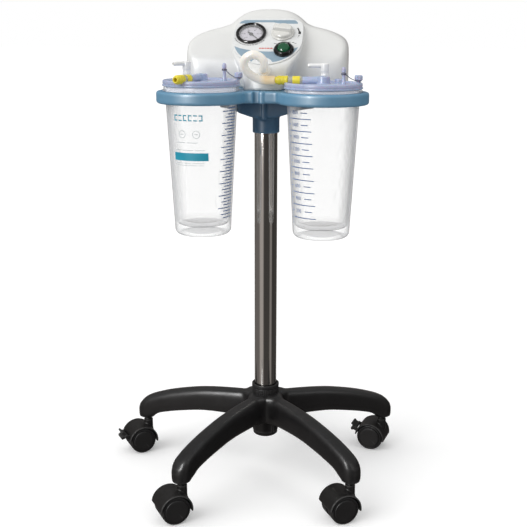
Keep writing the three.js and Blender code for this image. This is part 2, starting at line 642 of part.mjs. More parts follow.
function controlPanel() {
  const hole = (at, radius) => solid(rod(radius + GAP, -10, 10, 20).translate(...at, 0));
  return solid(rimPlate(PANEL_INSET, -PANEL_THICK + GAP, 0))
    .subtract(union(hole(GAUGE_AT, 19.5), hole(KNOB_AT, 4), hole(SWITCH_AT, 13)));
}

// The gauge's can: a bezel on the panel, a dial floor behind it and a pin for the needle.
function gaugeCase() {
  const bezel = [[19.5, GAP], [26, GAP], [26, 4.5], [23.8, 4.5], [22.4, 2.6], [22.4, 1]];
  const dial = [[18, -1.5], [1, -1.5], [1, 1.2], [0, 1.2]];
  return solid(turned([[0, -18], [19.5, -18], ...bezel, ...dial], 20));
}

// The needle on its hub, made pointing up the slope.
function gaugeNeedle() {
  const hub = turned([[1.4, -1.1], [3.4, -1.1], [3.4, 0.7], [1.4, 0.7], [1.4, -1.1]], 16);
  const outline = [[-0.9, 2.6], [0.9, 2.6], [0.35, 17], [-0.35, 17]];
  const blade = new THREE.Shape(outline.map(([x, y]) => new THREE.Vector2(x, y)));
  const tail = block(-1.1, 1.1, -8, -2.6, -0.7, 0.3);
  return solid(hub).add(solid(plate(blade, -0.7, 0.3))).add(solid(tail));
}

// The clear front of the gauge, held inside the bezel's lip.
function gaugeLens() {
  return solid(rod(22, 1.6, 2.6, 20));
}

// The body of the vacuum regulator behind the panel, with the shaft that the knob turns on.
function regulatorValve() {
  return solid(rod(10, -24, -PANEL_THICK, 20)).add(solid(rod(3.6, -PANEL_THICK - 1, 8, 16)));
}

// The knob: a skirted disc with a finger grip across it.
function regulatorKnob() {
  const bore = [[0, 8.4], [4, 8.4], [4, GAP]];
  const body = turned([...bore, [20, GAP], [20, 2.5], [17.5, 8], [16, 9.5], [0, 9.5]], 20);
  const grip = new THREE.Shape();
  grip.absarc(11, 0, 4, -Math.PI / 2, Math.PI / 2);
  grip.absarc(-11, 0, 4, Math.PI / 2, 1.5 * Math.PI);
  return solid(body).add(solid(plate(grip, 9, 13.5, 5)));
}

function switchBezel() {
  const wall = [[11.8, -14], [13, -14], [13, GAP], [17, GAP], [17, 2], [14, 6.5], [11.8, 6.5]];
  return solid(turned([...wall, wall[0]], 20));
}

// The green rocker: a round button that rocks about a line across the bezel.
function switchRocker() {
  return solid(turned([[0, -4], [10, -4], [10, 5.5], [8.4, 8.6], [0, 9.6]], 20));
}

function addPanel(parent) {
  const panel = new THREE.Group();
  panel.position.set(...PANEL_CENTRE);
  panel.rotation.x = panelTilt;
  parent.add(panel);
  piece("control_panel", controlPanel(), PANEL, panel);
  const at = (name, body, material, [x, y]) => {
    const made = piece(name, body, material, panel);
    made.position.set(x, y, 0);
    return made;
  };
  at("gauge_case", gaugeCase(), SCREEN_BLACK, GAUGE_AT);
  at("gauge_needle", gaugeNeedle(), DIAL, GAUGE_AT).rotation.z = NEEDLE_REST * RAD;
  at("gauge_lens", gaugeLens(), CLEAR, GAUGE_AT);
  at("regulator_valve", regulatorValve(), ALUMINIUM, KNOB_AT);
  at("regulator_knob", regulatorKnob(), WHITE, KNOB_AT).rotation.z = -14 * RAD;
  at("switch_bezel", switchBezel(), SCREEN_BLACK, SWITCH_AT);
  at("switch_rocker", switchRocker(), GREEN, SWITCH_AT).rotation.x = ROCKER_TILT * RAD;
}

// ---------------------------------------------------------------- inside the casing, and the hose

function pumpMotor() {
  const [x, y, z] = CRANK_AXIS;
  const can = alongX(turned([[0, -88], [24, -88], [27, -85], [27, -12], [24, -9], [0, -9]], 24));
  const shaft = alongX(rod(3.5, -10, -0.6, 12)).translate(x, y, z);
  const foot = block(x - 80, x - 20, y - 20, y + 20, PUMP_BOTTOM + BASE_PLATE + GAP, z - 20);
  return union(solid(can.translate(x, y, z)), solid(shaft), solid(foot));
}

function crankDisc() {
  const disc = alongX(rod(14, 0, 5, 24));
  const pin = alongX(rod(2.5, 4, 12, 12)).translate(0, 0, CRANK_THROW);
  return solid(disc).add(solid(pin));
}

// The connecting rod and its rocking piston cup in one, made about the crank pin.
function pistonRod() {
  const shape = new THREE.Shape();
  shape.absarc(0, 0, 6, Math.PI * 0.7, Math.PI * 2.3);
  shape.lineTo(3, ROD_LENGTH - 3);
  shape.lineTo(-3, ROD_LENGTH - 3);
  const shank = plate(shape, -2.5, 2.5).rotateX(Math.PI / 2).rotateZ(Math.PI / 2);
  const cup = turned([[0, ROD_LENGTH - 4], [6, ROD_LENGTH - 4], [PISTON_R, ROD_LENGTH],
    [PISTON_R, ROD_LENGTH + 4], [0, ROD_LENGTH + 4]], 24);
  return solid(shank).add(solid(cup)).subtract(solid(alongX(rod(2.5 + RUNNING_GAP, -4, 4, 12))));
}

function pumpCylinder() {
  const [low, high] = [32, 53];
  const bore = [[0, high], [BORE_R, high], [BORE_R, low]];
  const outside = [[BORE_R + 2.5, low], [BORE_R + 2.5, high + 4], [0, high + 4]];
  const arm = block(-26.8, -BORE_R - 1, -8, 8, low, low + 5);
  const stay = block(-26.8, -20.8, -8, 8, 27 + GAP, low + 1);
  return solid(turned([...bore, ...outside], 28)).add(solid(arm)).add(solid(stay));
}

// The barbed spout on the console's nose that the hose is pushed on.
function hoseNozzle() {
  const spout = [[0, -12], [4, -12], [4, GAP], [10, GAP], [10, 3], [5, 3.5], [5, 4.5], [4, 12], [0, 12]];
  return solid(turned(spout, 20).rotateX(Math.PI / 2).translate(...NOZZLE));
}

// The mains inlet in the casing's back: a flange around an open recess for the plug.
function powerInlet() {
  const [x, y, z] = INLET_AT;
  const body = block(x - 14, x + 14, y - 14, y + GAP, z - 10, z + 10);
  const flange = block(x - 17, x + 17, y + GAP, y + 2.5, z - 13, z + 13);
  const recess = block(x - 11.5, x + 11.5, y - 11, y + 5, z - 7.5, z + 7.5);
  return solid(body).add(solid(flange)).subtract(solid(recess));
}

// The route of the silicone hose from the nozzle to the right canister's connector.
const HOSE_ROUTE = [
  [4, -58.4, 735], [4, -65, 735.2], [5, -72, 737.8], [6.6, -77.5, 743.5], [5.4, -80.5, 751], [-1, -81.5, 757.5],
  [-11, -82, 760.5], [-20, -81, 757], [-26, -78.5, 750], [-26.5, -74.5, 741], [-22, -68.5, 732.5],
  [-14, -62, 725.2], [-5, -57.6, 720.6], [4, -56.2, 719], [12, -56, 719], [21.6, -56, 719],
];

// ---------------------------------------------------------------- the whole object

const root = new THREE.Group();

const base = new THREE.Group();
base.rotation.z = (90 + BASE_TURN) * RAD;
root.add(base);
piece("base_star", baseStar(), BLACK_PLASTIC, base);
piece("hub_plug", hubPlug(), BLACK_PLASTIC, root);
piece("pole_collar", poleCollar(), BLACK_PLASTIC, root);
piece("pole", pole(), CHROME, root);
CASTORS.forEach((castor, i) => addCastor(root, castor, (90 + BASE_TURN + (i * 360) / ARM_COUNT) * RAD));

piece("pole_bracket", poleBracket(), NAVY, root);
piece("bracket_screw", bracketScrew(), STEEL, root);
piece("canister_holder", canisterHolder(), SKY, root);
LIDS.forEach((canister) => addCanister(root, canister));

piece("casing_cover", casingCover(), CASING, root);
piece("casing_base", casingBase(), CASING, root);
addPanel(root);
piece("hose_nozzle", hoseNozzle(), CLEAR, root);
piece("power_inlet", powerInlet(), SCREEN_BLACK, root);
piece("pump_motor", pumpMotor(), ALUMINIUM, root);
piece("crank_disc", crankDisc(), STEEL, root).position.set(...CRANK_AXIS);
const [, CRANK_Y, CRANK_Z] = CRANK_AXIS;
piece("piston_rod", pistonRod(), ALUMINIUM, root).position.set(ROD_X, CRANK_Y, CRANK_Z + CRANK_THROW);
piece("pump_cylinder", pumpCylinder(), ALUMINIUM, root).position.set(ROD_X, CRANK_Y, CRANK_Z);
piece("link_hose", solid(tube(HOSE_ROUTE, HOSE_R, 28, 4)), SILICONE, root);

// The trolley's box decides where the origin is.
const box = new THREE.Box3().setFromObject(root, true);
const middle = box.getCenter(new THREE.Vector3());
root.position.set(-middle.x, -middle.y, -box.min.z);

export default root;
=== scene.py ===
"""The looks of a hospital suction pump on a trolley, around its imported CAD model.

Shapes are drawn in millimetres in the pump's own frame, whose Z axis is the pole's axis and whose
floor is at Z = 0, and the pole's box in the CAD model says where that frame stands."""

import itertools
import json
import math
import random

import bmesh
import bpy
import numpy as np
from mathutils import Matrix, Vector
from mathutils.bvhtree import BVHTree

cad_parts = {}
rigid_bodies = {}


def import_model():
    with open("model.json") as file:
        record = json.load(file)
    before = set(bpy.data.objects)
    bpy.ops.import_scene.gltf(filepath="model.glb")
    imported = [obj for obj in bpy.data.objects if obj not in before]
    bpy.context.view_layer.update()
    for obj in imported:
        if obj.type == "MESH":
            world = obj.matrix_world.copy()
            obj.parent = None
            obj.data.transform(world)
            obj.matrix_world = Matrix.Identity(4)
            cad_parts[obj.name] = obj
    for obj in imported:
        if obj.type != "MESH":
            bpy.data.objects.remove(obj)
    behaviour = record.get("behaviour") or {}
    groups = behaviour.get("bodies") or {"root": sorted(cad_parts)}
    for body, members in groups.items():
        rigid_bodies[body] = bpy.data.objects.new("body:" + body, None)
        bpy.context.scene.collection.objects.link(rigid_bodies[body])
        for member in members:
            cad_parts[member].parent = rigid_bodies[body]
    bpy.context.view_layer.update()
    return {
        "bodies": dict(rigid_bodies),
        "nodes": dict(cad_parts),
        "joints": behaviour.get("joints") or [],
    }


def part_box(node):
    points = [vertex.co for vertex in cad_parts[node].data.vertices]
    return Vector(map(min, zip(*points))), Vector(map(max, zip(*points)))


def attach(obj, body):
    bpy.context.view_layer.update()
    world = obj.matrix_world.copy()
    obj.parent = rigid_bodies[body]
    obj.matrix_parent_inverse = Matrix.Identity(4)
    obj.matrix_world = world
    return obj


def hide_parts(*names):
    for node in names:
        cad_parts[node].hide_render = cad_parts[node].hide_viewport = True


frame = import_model()

MM = 0.001
POLE_LOW, POLE_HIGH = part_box("pole")
POLE = (POLE_LOW + POLE_HIGH) / 2
HEAD = Matrix.Translation((POLE.x, POLE.y, 0)) @ Matrix.Scale(MM, 4)
JOINTS = {joint["name"]: joint for joint in frame["joints"]}


# ------------------------------------------------------------------ camera and cord


def world(x, y, z):
    """A point of the pump's frame, in millimetres, as a point in the scene, in metres."""
    return HEAD @ Vector((x, y, z))


HEAD_TURN = math.radians(7.5)  # the head is turned this much from the camera
CAMERA_PITCH = math.radians(14.55)
CAMERA_ROLL = math.radians(0.1)
CAMERA_DISTANCE = 1604
CAMERA_HEIGHT = 809
CAMERA_OFFSET = -4
FOCAL_PIXELS = 924.8
FRAME_PIXELS = 527
SENSOR = 36.0

camera_data = bpy.data.cameras.new("camera")
camera_data.sensor_width = SENSOR
camera_data.lens = FOCAL_PIXELS / FRAME_PIXELS * SENSOR
camera = bpy.data.objects.new("camera", camera_data)
bpy.context.scene.collection.objects.link(camera)
bpy.context.scene.camera = camera
turn = Matrix.Rotation(HEAD_TURN, 4, "Z")
tilt = Matrix.Rotation(math.pi / 2 - CAMERA_PITCH, 4, "X") @ Matrix.Rotation(CAMERA_ROLL, 4, "Z")
eye = turn @ Vector((CAMERA_OFFSET, -CAMERA_DISTANCE, CAMERA_HEIGHT))
camera.matrix_world = Matrix.Translation(world(*eye)) @ turn @ tilt


def smooth_path(points, step):
    """Points no further than step apart on the centripetal Catmull-Rom curve through the points."""
    p = [np.array(q, float) for q in points]
    p = [2 * p[0] - p[1], *p, 2 * p[-1] - p[-2]]
    out = []
    for a, b, c, d in zip(p, p[1:], p[2:], p[3:]):
        t0, t1 = 0.0, np.linalg.norm(b - a) ** 0.5
        t2 = t1 + np.linalg.norm(c - b) ** 0.5
        t3 = t2 + np.linalg.norm(d - c) ** 0.5
        count = max(1, math.ceil(np.linalg.norm(c - b) / step))
        for i in range(count):
            t = t1 + (t2 - t1) * i / count
            ab = a + (b - a) * (t - t0) / (t1 - t0)
            bc = b + (c - b) * (t - t1) / (t2 - t1)
            cd = c + (d - c) * (t - t2) / (t3 - t2)
            abc = ab + (bc - ab) * (t - t0) / (t2 - t0)
            bcd = bc + (cd - bc) * (t - t1) / (t3 - t1)
            out.append(abc + (bcd - abc) * (t - t1) / (t2 - t1))
    return np.array([*out, p[-2]])


HOSE_ROUTE = [
    (4, -58.4, 735), (4, -65, 735.2), (5, -72, 737.8), (6.6, -77.5, 743.5), (5.4, -80.5, 751),
    (-1, -81.5, 757.5),
    (-11, -82, 760.5), (-20, -81, 757), (-26, -78.5, 750), (-26.5, -74.5, 741), (-22, -68.5, 732.5),
    (-14, -62, 725.2), (-5, -57.6, 720.6), (4, -56.2, 719), (12, -56, 719), (21.6, -56, 719),
]
HOSE_R = 7


# ------------------------------------------------------------------ shapes: points and faces


def join(*shapes):
    points, faces, base = [], [], 0
    for p, f in shapes:
        points.append(p)
        faces += [tuple(i + base for i in face) for face in f]
        base += len(p)
    return np.concatenate(points), faces


def move(shape, matrix):
    points, faces = shape
    m = np.array(matrix)
    return points @ m[:3, :3].T + m[:3, 3], faces


def at(x, y, z=0.0):
    return Matrix.Translation((x, y, z))


def spin(degrees, axis="Z"):
    return Matrix.Rotation(math.radians(degrees), 4, axis)


def soften(points, radius=0.6, steps=4, closed=False):
    """A line of 2D points with its corners rounded. A point's third number is a radius of its own."""
    flat = [np.array(p[:2], float) for p in points]
    radii = [p[2] if len(p) > 2 else radius for p in points]
    out = []
    for i, q in enumerate(flat):
        if not closed and i in (0, len(flat) - 1):
            out.append(q)
            continue
        a, b = flat[i - 1] - q, flat[(i + 1) % len(flat)] - q
        la, lb = np.linalg.norm(a), np.linalg.norm(b)
        cosine = np.clip(a @ b / (la * lb), -1, 1)
        half = math.acos(cosine) / 2
        cut = min(radii[i] / max(math.tan(half), 1e-6), 0.48 * la, 0.48 * lb)
        if cut < 1e-4 or half > 1.56:
            out.append(q)
            continue
        start, end = q + a / la * cut, q + b / lb * cut
        for k in range(steps + 1):
            t = k / steps
            out.append((1 - t) ** 2 * start + 2 * t * (1 - t) * q + t**2 * end)
    return out


def lathe(profile, sides=64, closed=False, radial=None):
    """A body turned about Z from (radius, height) points. radial(angle, radius, height) may alter one."""
    points, faces, rings = [], [], []
    for r, z in profile:
        if r < 1e-6:
            rings.append([len(points)])
            points.append((0, 0, z))
            continue
        rings.append(list(range(len(points), len(points) + sides)))
        for i in range(sides):
            angle = 2 * math.pi * i / sides
            q = radial(angle, r, z) if radial else r
            points.append((q * math.cos(angle), q * math.sin(angle), z))
    pairs = list(zip(rings, rings[1:]))
    if closed:
        pairs.append((rings[-1], rings[0]))
    for a, b in pairs:
        for i in range(sides):
            k = (i + 1) % sides
            corners = [a[i % len(a)], a[k % len(a)], b[k % len(b)], b[i % len(b)]]
            face = tuple(dict.fromkeys(corners))
            if len(face) > 2:
                faces.append(face)
    return np.array(points, float), faces


def rod(radius, low, high, sides=32, edge=0.5):
    return lathe(soften([(0, low), (radius, low), (radius, high), (0, high)], edge), sides)


def prism(outline, low, high, edge=0.4):
    """A flat outline in X and Y with a height, and its rims rounded by edge."""
    q = np.array([p[:2] for p in outline], float)
    if np.sum(q[:, 0] * np.roll(q[:, 1], -1) - np.roll(q[:, 0], -1) * q[:, 1]) < 0:
        q = q[::-1]
    to_next = np.roll(q, -1, 0) - q
    to_next /= np.linalg.norm(to_next, axis=1)[:, None] + 1e-9
    normal = np.stack([to_next[:, 1], -to_next[:, 0]], 1)
    mitre = normal + np.roll(normal, 1, 0)
    mitre /= np.maximum((mitre * mitre).sum(1)[:, None] / 2, 0.35)
    rows = []
    for k in range(4):
        a = k / 3 * math.pi / 2
        rows.append((edge * (1 - math.sin(a)), low + edge * (1 - math.cos(a))))
    rows += [(inset, low + high - z) for inset, z in reversed(rows)]
    points = np.concatenate([np.c_[q - mitre * inset, np.full(len(q), z)] for inset, z in rows])
    n, faces = len(q), []
    for r in range(len(rows) - 1):
        for i in range(n):
            k = (i + 1) % n
            faces.append((r * n + i, r * n + k, r * n + n + k, r * n + n + i))
    faces.append(tuple(reversed(range(n))))
    faces.append(tuple(range((len(rows) - 1) * n, len(rows) * n)))
    return points, faces


def rounded_box(x0, x1, y0, y1, radius, steps=5):
    return soften([(x0, y0), (x1, y0), (x1, y1), (x0, y1)], radius, steps, closed=True)


def sweep(path, radius, sides=20, flat=1.0):
    """A tube along the points. radius is a number, or a function of the share of the way along."""
    path = np.array(path, float)
    tangent = np.gradient(path, axis=0)
    tangent /= np.linalg.norm(tangent, axis=1)[:, None]
    helper = np.array((0, 0, 1.0)) if abs(tangent[0][2]) < 0.9 else np.array((1.0, 0, 0))
    across = np.cross(helper, tangent[0])
    points, n = [], len(path)
    for i, (p, t) in enumerate(zip(path, tangent)):
        across = across - t * (across @ t)
        across /= np.linalg.norm(across)
        up = np.cross(t, across)
        r = radius(i / (n - 1)) if callable(radius) else radius
        for k in range(sides):
            a = 2 * math.pi * k / sides
            points.append(p + across * math.cos(a) * r + up * math.sin(a) * r * flat)
    faces = [
        (i * sides + k, i * sides + (k + 1) % sides, (i + 1) * sides + (k + 1) % sides, (i + 1) * sides + k)
        for i in range(n - 1)
        for k in range(sides)
    ]
    faces.append(tuple(reversed(range(sides))))
    faces.append(tuple(range((n - 1) * sides, n * sides)))
    return np.array(points), faces


# ------------------------------------------------------------------ shapes from distance fields


def smooth_min(a, b, k):
    h = np.clip(0.5 + 0.5 * (b - a) / k, 0, 1)
    return b + (a - b) * h - k * h * (1 - h)


def smooth_max(a, b, k):
    return -smooth_min(-a, -b, k)


def box_field(x, y, z, centre, half, radius):
    q = [np.abs(v - c) - h + radius for v, c, h in zip((x, y, z), centre, half)]
    outside = np.sqrt(sum(np.maximum(v, 0) ** 2 for v in q))
    return outside + np.minimum(np.maximum(np.maximum(q[0], q[1]), q[2]), 0) - radius


def disc_field(u, v, w, radius, low, high, edge=1.0):
    """A cylinder about the w axis with soft rims."""
    return smooth_max(np.sqrt(u * u + v * v) - radius, np.abs(w - (low + high) / 2) - (high - low) / 2, edge)


def outline_field(points, pitch=1.0, margin=30.0):
    """The distance from a closed 2D outline, negative inside, as a function of two coordinates."""
    q = np.array([p[:2] for p in points], float)
    low = q.min(0) - margin
    count = np.ceil((q.max(0) + margin - low) / pitch).astype(int) + 1
    u, v = np.meshgrid(*[low[i] + pitch * np.arange(count[i]) for i in (0, 1)], indexing="ij")
    nearest, inside = np.full(u.shape, 1e9), np.zeros(u.shape, bool)
    for (ax, ay), (bx, by) in zip(q, np.roll(q, -1, 0)):
        dx, dy = bx - ax, by - ay
        t = np.clip(((u - ax) * dx + (v - ay) * dy) / (dx * dx + dy * dy + 1e-12), 0, 1)
        nearest = np.minimum(nearest, np.hypot(u - ax - t * dx, v - ay - t * dy))
        crosses = (ay > v) != (by > v)
        inside ^= crosses & (u < ax + (v - ay) * dx / (dy if abs(dy) > 1e-12 else 1e-12))
    table = np.where(inside, -nearest, nearest)

    def field(a, b):
        s = np.clip((a - low[0]) / pitch, 0, count[0] - 1.001)
        t = np.clip((b - low[1]) / pitch, 0, count[1] - 1.001)
        i, j = s.astype(int), t.astype(int)
        s, t = s - i, t - j
        return (
            table[i, j] * (1 - s) * (1 - t) + table[i + 1, j] * s * (1 - t)
            + table[i, j + 1] * (1 - s) * t + table[i + 1, j + 1] * s * t
        )

    return field


def solid_field(shape, pitch=3.0, margin=24.0):
    """The distance from a closed shape, negative inside, as a function of three coordinates."""
    points, faces = shape
    tree = BVHTree.FromPolygons([tuple(p) for p in points], faces)
    low = points.min(0) - margin
    count = np.ceil((points.max(0) + margin - low) / pitch).astype(int) + 1
    table = np.empty(count)
    up = Vector((0, 0, 1))
    for i, j in itertools.product(range(count[0]), range(count[1])):
        x, y = low[0] + i * pitch + 0.0137, low[1] + j * pitch + 0.0171
        heights, start = [], low[2] - 1
        while (hit := tree.ray_cast(Vector((x, y, start)), up))[0] is not None:
            heights.append(hit[0].z)
            start = hit[0].z + 1e-3
        if len(heights) % 2:
            heights = []
        for k in range(count[2]):
            z = low[2] + k * pitch
            inside = sum(h < z for h in heights) % 2
            distance = tree.find_nearest(Vector((x, y, z)))[3]
            table[i, j, k] = -distance if inside else distance

    def field(x, y, z):
        c = [np.clip((v - l) / pitch, 0, n - 1.001) for v, l, n in zip((x, y, z), low, count)]
        i, j, k = [v.astype(int) for v in c]
        r, s, t = [v - np.floor(v) for v in c]
        total = 0
        for a, b, d in itertools.product((0, 1), repeat=3):
            weight = (r if a else 1 - r) * (s if b else 1 - s) * (t if d else 1 - t)
            total = total + weight * table[i + a, j + b, k + d]
        return total

    return field


def surface(field, low, high, pitch, settle=4):
    """The surface where field is zero, as quads, by surface nets. Its points then settle onto the surface."""
    axes = [np.arange(a - pitch, b + 2 * pitch, pitch) for a, b in zip(low, high)]
    grid = np.meshgrid(*axes, indexing="ij")
    value = field(*grid)
    inside = value < 0
    shape = np.array(inside.shape) - 1
    total, hits = np.zeros((*shape, 3)), np.zeros(shape)
    edges = []
    for axis in range(3):
        first = [slice(None)] * 3
        second = [slice(None)] * 3
        first[axis], second[axis] = slice(None, -1), slice(1, None)
        a, b = value[tuple(first)], value[tuple(second)]
        where = np.argwhere((a < 0) != (b < 0))
        va, vb = a[tuple(where.T)], b[tuple(where.T)]
        p = np.stack([axes[i][where[:, i]] for i in range(3)], 1)
        p[:, axis] += va / (va - vb) * pitch
        u, v = (axis + 1) % 3, (axis + 2) % 3
        whole = np.all((where[:, [u, v]] > 0) & (where[:, [u, v]] < shape[[u, v]]), 1)
        where, p, va = where[whole], p[whole], va[whole]
        cells = []
        for du, dv in ((-1, -1), (0, -1), (0, 0), (-1, 0)):
            cell = where.copy()
            cell[:, u] += du
            cell[:, v] += dv
            cells.append(cell)
            np.add.at(total, tuple(cell.T), p)
            np.add.at(hits, tuple(cell.T), 1)
        edges.append((cells, va < 0))
    used = hits > 0
    index = np.full(shape, -1)
    index[used] = np.arange(used.sum())
    points = total[used] / hits[used][:, None]
    quads = []
    for cells, outward in edges:
        quad = np.stack([index[tuple(c.T)] for c in cells], 1)
        quads.append(np.where(outward[:, None], quad, quad[:, ::-1]))
    step = 0.15 * pitch
    for _ in range(settle):
        f = field(*points.T)
        slope = np.stack(
            [(field(*(points + step * e).T) - field(*(points - step * e).T)) / (2 * step)
             for e in np.eye(3)], 1
        )
        length = np.maximum((slope * slope).sum(1), 0.05)
        change = -(f / length)[:, None] * slope
        size = np.linalg.norm(change, axis=1)
        points = points + change * np.minimum(1, 0.5 * pitch / np.maximum(size, 1e-9))[:, None]
    return points, [tuple(q) for q in np.concatenate(quads).tolist()]


def line_through(points, samples=240):
    """A smooth function of one number through (x, value) points."""
    dense = smooth_path([(x, y, 0) for x, y in points], (points[-1][0] - points[0][0]) / samples)
    return lambda v: np.interp(v, dense[:, 0], dense[:, 1])


# ------------------------------------------------------------------ materials


class Nodes:
    """A material's node tree, with short calls that add a node and link its inputs."""

    def __init__(self, name):
        self.material = bpy.data.materials.new(name)
        self.material.use_nodes = True
        self.tree = self.material.node_tree
        self.tree.nodes.clear()
        self.output = self.add("ShaderNodeOutputMaterial")
        self.shader = self.add("ShaderNodeBsdfPrincipled")
        self.link(self.shader, 0, self.output, 0)
        self.place = self.add("ShaderNodeTexCoord")

    def add(self, kind, **settings):
        node = self.tree.nodes.new(kind)
        for key, value in settings.items():
            setattr(node, key, value)
        return node

    def link(self, source, out, target, into):
        self.tree.links.new(source.outputs[out], target.inputs[into])

    def set(self, **values):
        for key, value in values.items():
            self.shader.inputs[key.replace("_", " ")].default_value = value

    def noise(self, scale, detail=3.0, stretch=(1, 1, 1), rough=0.55):
        mapping = self.add("ShaderNodeMapping")
        mapping.inputs["Scale"].default_value = stretch
        self.link(self.place, "Object", mapping, "Vector")
        node = self.add("ShaderNodeTexNoise")
        node.inputs["Scale"].default_value = scale
        node.inputs["Detail"].default_value = detail
        node.inputs["Roughness"].default_value = rough
        self.link(mapping, 0, node, "Vector")
        return node

    def ramp(self, source, out, low, high, first=0.3, last=0.7):
        """A value mapped to a number between low and high, or to a colour between two colours."""
        if isinstance(low, (int, float)):
            node = self.add("ShaderNodeMapRange")
            for key, value in zip(("From Min", "From Max", "To Min", "To Max"), (first, last, low, high)):
                node.inputs[key].default_value = value
            self.link(source, out, node, "Value")
            return node
        node = self.add("ShaderNodeValToRGB")
        for stop, position, colour in zip(node.color_ramp.elements, (first, last), (low, high)):
            stop.position = position
            stop.color = (*colour[:3], 1)
        self.link(source, out, node, "Fac")
        return node

    def blend(self, factor, out, a, b, mode="MIX"):
        """Colour a mixed with colour b by a node's output. a and b are nodes' (node, output) or colours."""
        node = self.add("ShaderNodeMix", data_type="RGBA", blend_type=mode)
        self.link(factor, out, node, 0)
        for socket, value in ((6, a), (7, b)):
            if isinstance(value[0], (int, float)):
                node.inputs[socket].default_value = (*value[:3], 1)
            else:
                self.link(value[0], value[1], node, socket)
        return node

    def bump(self, layers):
        """Bumps from (node, strength, distance in millimetres), each on top of the one before."""
        last = None
        for source, strength, distance in layers:
            node = self.add("ShaderNodeBump")
            node.inputs["Strength"].default_value = strength
            node.inputs["Distance"].default_value = distance * MM
            self.link(source, 0, node, "Height")
            if last:
                self.link(last, 0, node, "Normal")
            last = node
        self.link(last, 0, self.shader, "Normal")


def shades(colour, spread):
    return [c * (1 - spread) for c in colour], [min(1, c * (1 + spread)) for c in colour]


def plastic(name, colour, rough=0.4, spread=0.05, grain=(1500, 0.15), waves=0.0, wear=0.0, dust=0.0,
            **sockets):
    """Moulded plastic: mottled colour, uneven gloss, grain, soft sink waves, worn edges and dust on top."""
    m = Nodes(name)
    clouds = m.noise(26, 4)
    fine = m.noise(grain[0], 2)
    low, high = shades(colour, spread)
    base = m.ramp(clouds, 0, low, high)
    if wear:
        edges = m.add("ShaderNodeNewGeometry")
        bright = m.ramp(edges, "Pointiness", 0, wear, 0.505, 0.56)
        base = m.blend(bright, 0, (base, 0), [min(1, c * 1.6 + 0.10) for c in colour])
    if dust:
        facing = m.add("ShaderNodeNewGeometry")
        split = m.add("ShaderNodeSeparateXYZ")
        m.link(facing, "Normal", split, 0)
        upward = m.ramp(split, "Z", 0, 1, 0.35, 1.0)
        specks = m.noise(160, 5)
        amount = m.add("ShaderNodeMath", operation="MULTIPLY")
        m.link(upward, 0, amount, 0)
        m.link(m.ramp(specks, 0, 0, dust, 0.4, 0.7), 0, amount, 1)
        base = m.blend(amount, 0, (base, base.outputs[0].name if base.type == "VALTORGB" else 2),
                       (0.34, 0.33, 0.32))
    m.link(base, 2 if base.type == "MIX" else 0, m.shader, "Base Color")
    gloss = m.noise(70, 5, rough=0.65)
    m.link(m.ramp(gloss, 0, rough - 0.06, rough + 0.08), 0, m.shader, "Roughness")
    layers = [(fine, grain[1], 0.12)]
    if waves:
        layers.insert(0, (m.noise(18, 1), waves, 1.2))
    m.bump(layers)
    m.set(**sockets)
    return m.material


def metal(name, colour, rough=0.2, stretch=(1, 1, 1), scratch=0.1, spread=0.06, coarse=40):
    """Metal with drawn or brushed lines, stretched along one axis, and faint handling marks."""
    m = Nodes(name)
    lines = m.noise(coarse, 6, stretch, 0.7)
    marks = m.noise(12, 5)
    low, high = shades(colour, spread)
    m.link(m.ramp(marks, 0, low, high), 0, m.shader, "Base Color")
    m.link(m.ramp(lines, 0, max(0.02, rough - 0.05), rough + 0.07), 0, m.shader, "Roughness")
    m.bump([(lines, scratch, 0.05)])
    m.set(Metallic=1.0)
    return m.material


def clear(name, colour, alpha, edge_alpha, rough=0.08, spread=0.03, edge_colour=None, waves=0.25, **sockets):
    """A clear or translucent plastic, which gets denser where it is seen edge-on, and darker there by painted
    shade in place of refraction.
    """
    m = Nodes(name)
    streaks = m.noise(14, 4, (1, 1, 0.35))
    low, high = shades(colour, spread)
    base = m.ramp(streaks, 0, low, high)
    facing = m.add("ShaderNodeLayerWeight")
    facing.inputs["Blend"].default_value = 0.35
    # Painted shade: the edge colour darkens the plastic where it is seen edge-on, in place of the light that
    # refraction bends away.
    if edge_colour:
        rim = m.ramp(facing, "Facing", 0, 1, 0.35, 0.95)
        base = m.blend(rim, 0, (base, 0), edge_colour)
    m.link(base, 2 if base.type == "MIX" else 0, m.shader, "Base Color")
    m.link(m.ramp(facing, "Facing", alpha, edge_alpha, 0.15, 0.95), 0, m.shader, "Alpha")
    m.link(m.ramp(m.noise(50, 4), 0, rough, rough + 0.08), 0, m.shader, "Roughness")
    m.bump([(m.noise(30, 2), waves, 0.4)])
    m.set(**sockets)
    return m.material


BASE_BLACK = plastic("satin_black_nylon", (0.0085, 0.008, 0.0083), 0.34, 0.16, (1100, 0.3), 0.25,
                     0.35, 0.015, Specular_IOR_Level=0.42)
CASTOR_BLACK = plastic("textured_black_nylon", (0.0095, 0.0088, 0.0085), 0.44, 0.18, (1300, 0.4), 0.1,
                       0.35, 0.02, Specular_IOR_Level=0.35)
WHEEL_BLACK = plastic("matt_black_wheel", (0.0095, 0.009, 0.0095), 0.46, 0.2, (900, 0.35), 0.15, 0.25)
CHROME = metal("chromed_tube", (0.66, 0.64, 0.61), 0.09, (1, 1, 0.04), 0.04, 0.04, 260)
STEEL = metal("plain_steel", (0.55, 0.55, 0.56), 0.3, (1, 1, 6), 0.15)
DARK_STEEL = metal("dark_steel", (0.06, 0.06, 0.06), 0.42, (1, 1, 6), 0.15)
ALUMINIUM = metal("cast_aluminium", (0.55, 0.56, 0.57), 0.5, (1, 1, 1), 0.4, 0.1, 500)
NAVY = plastic("satin_navy", (0.040, 0.112, 0.200), 0.36, 0.10, (1400, 0.25), 0.2, 0.25)
SKY = plastic("light_blue_gloss", (0.108, 0.285, 0.445), 0.44, 0.05, (1500, 0.12), 0.3, 0.12,
              Specular_IOR_Level=1.0)
LAVENDER = plastic("lavender_lid", (0.40, 0.46, 0.64), 0.28, 0.05, (1600, 0.08), 0.2, 0.1,
                   Subsurface_Weight=0.15)
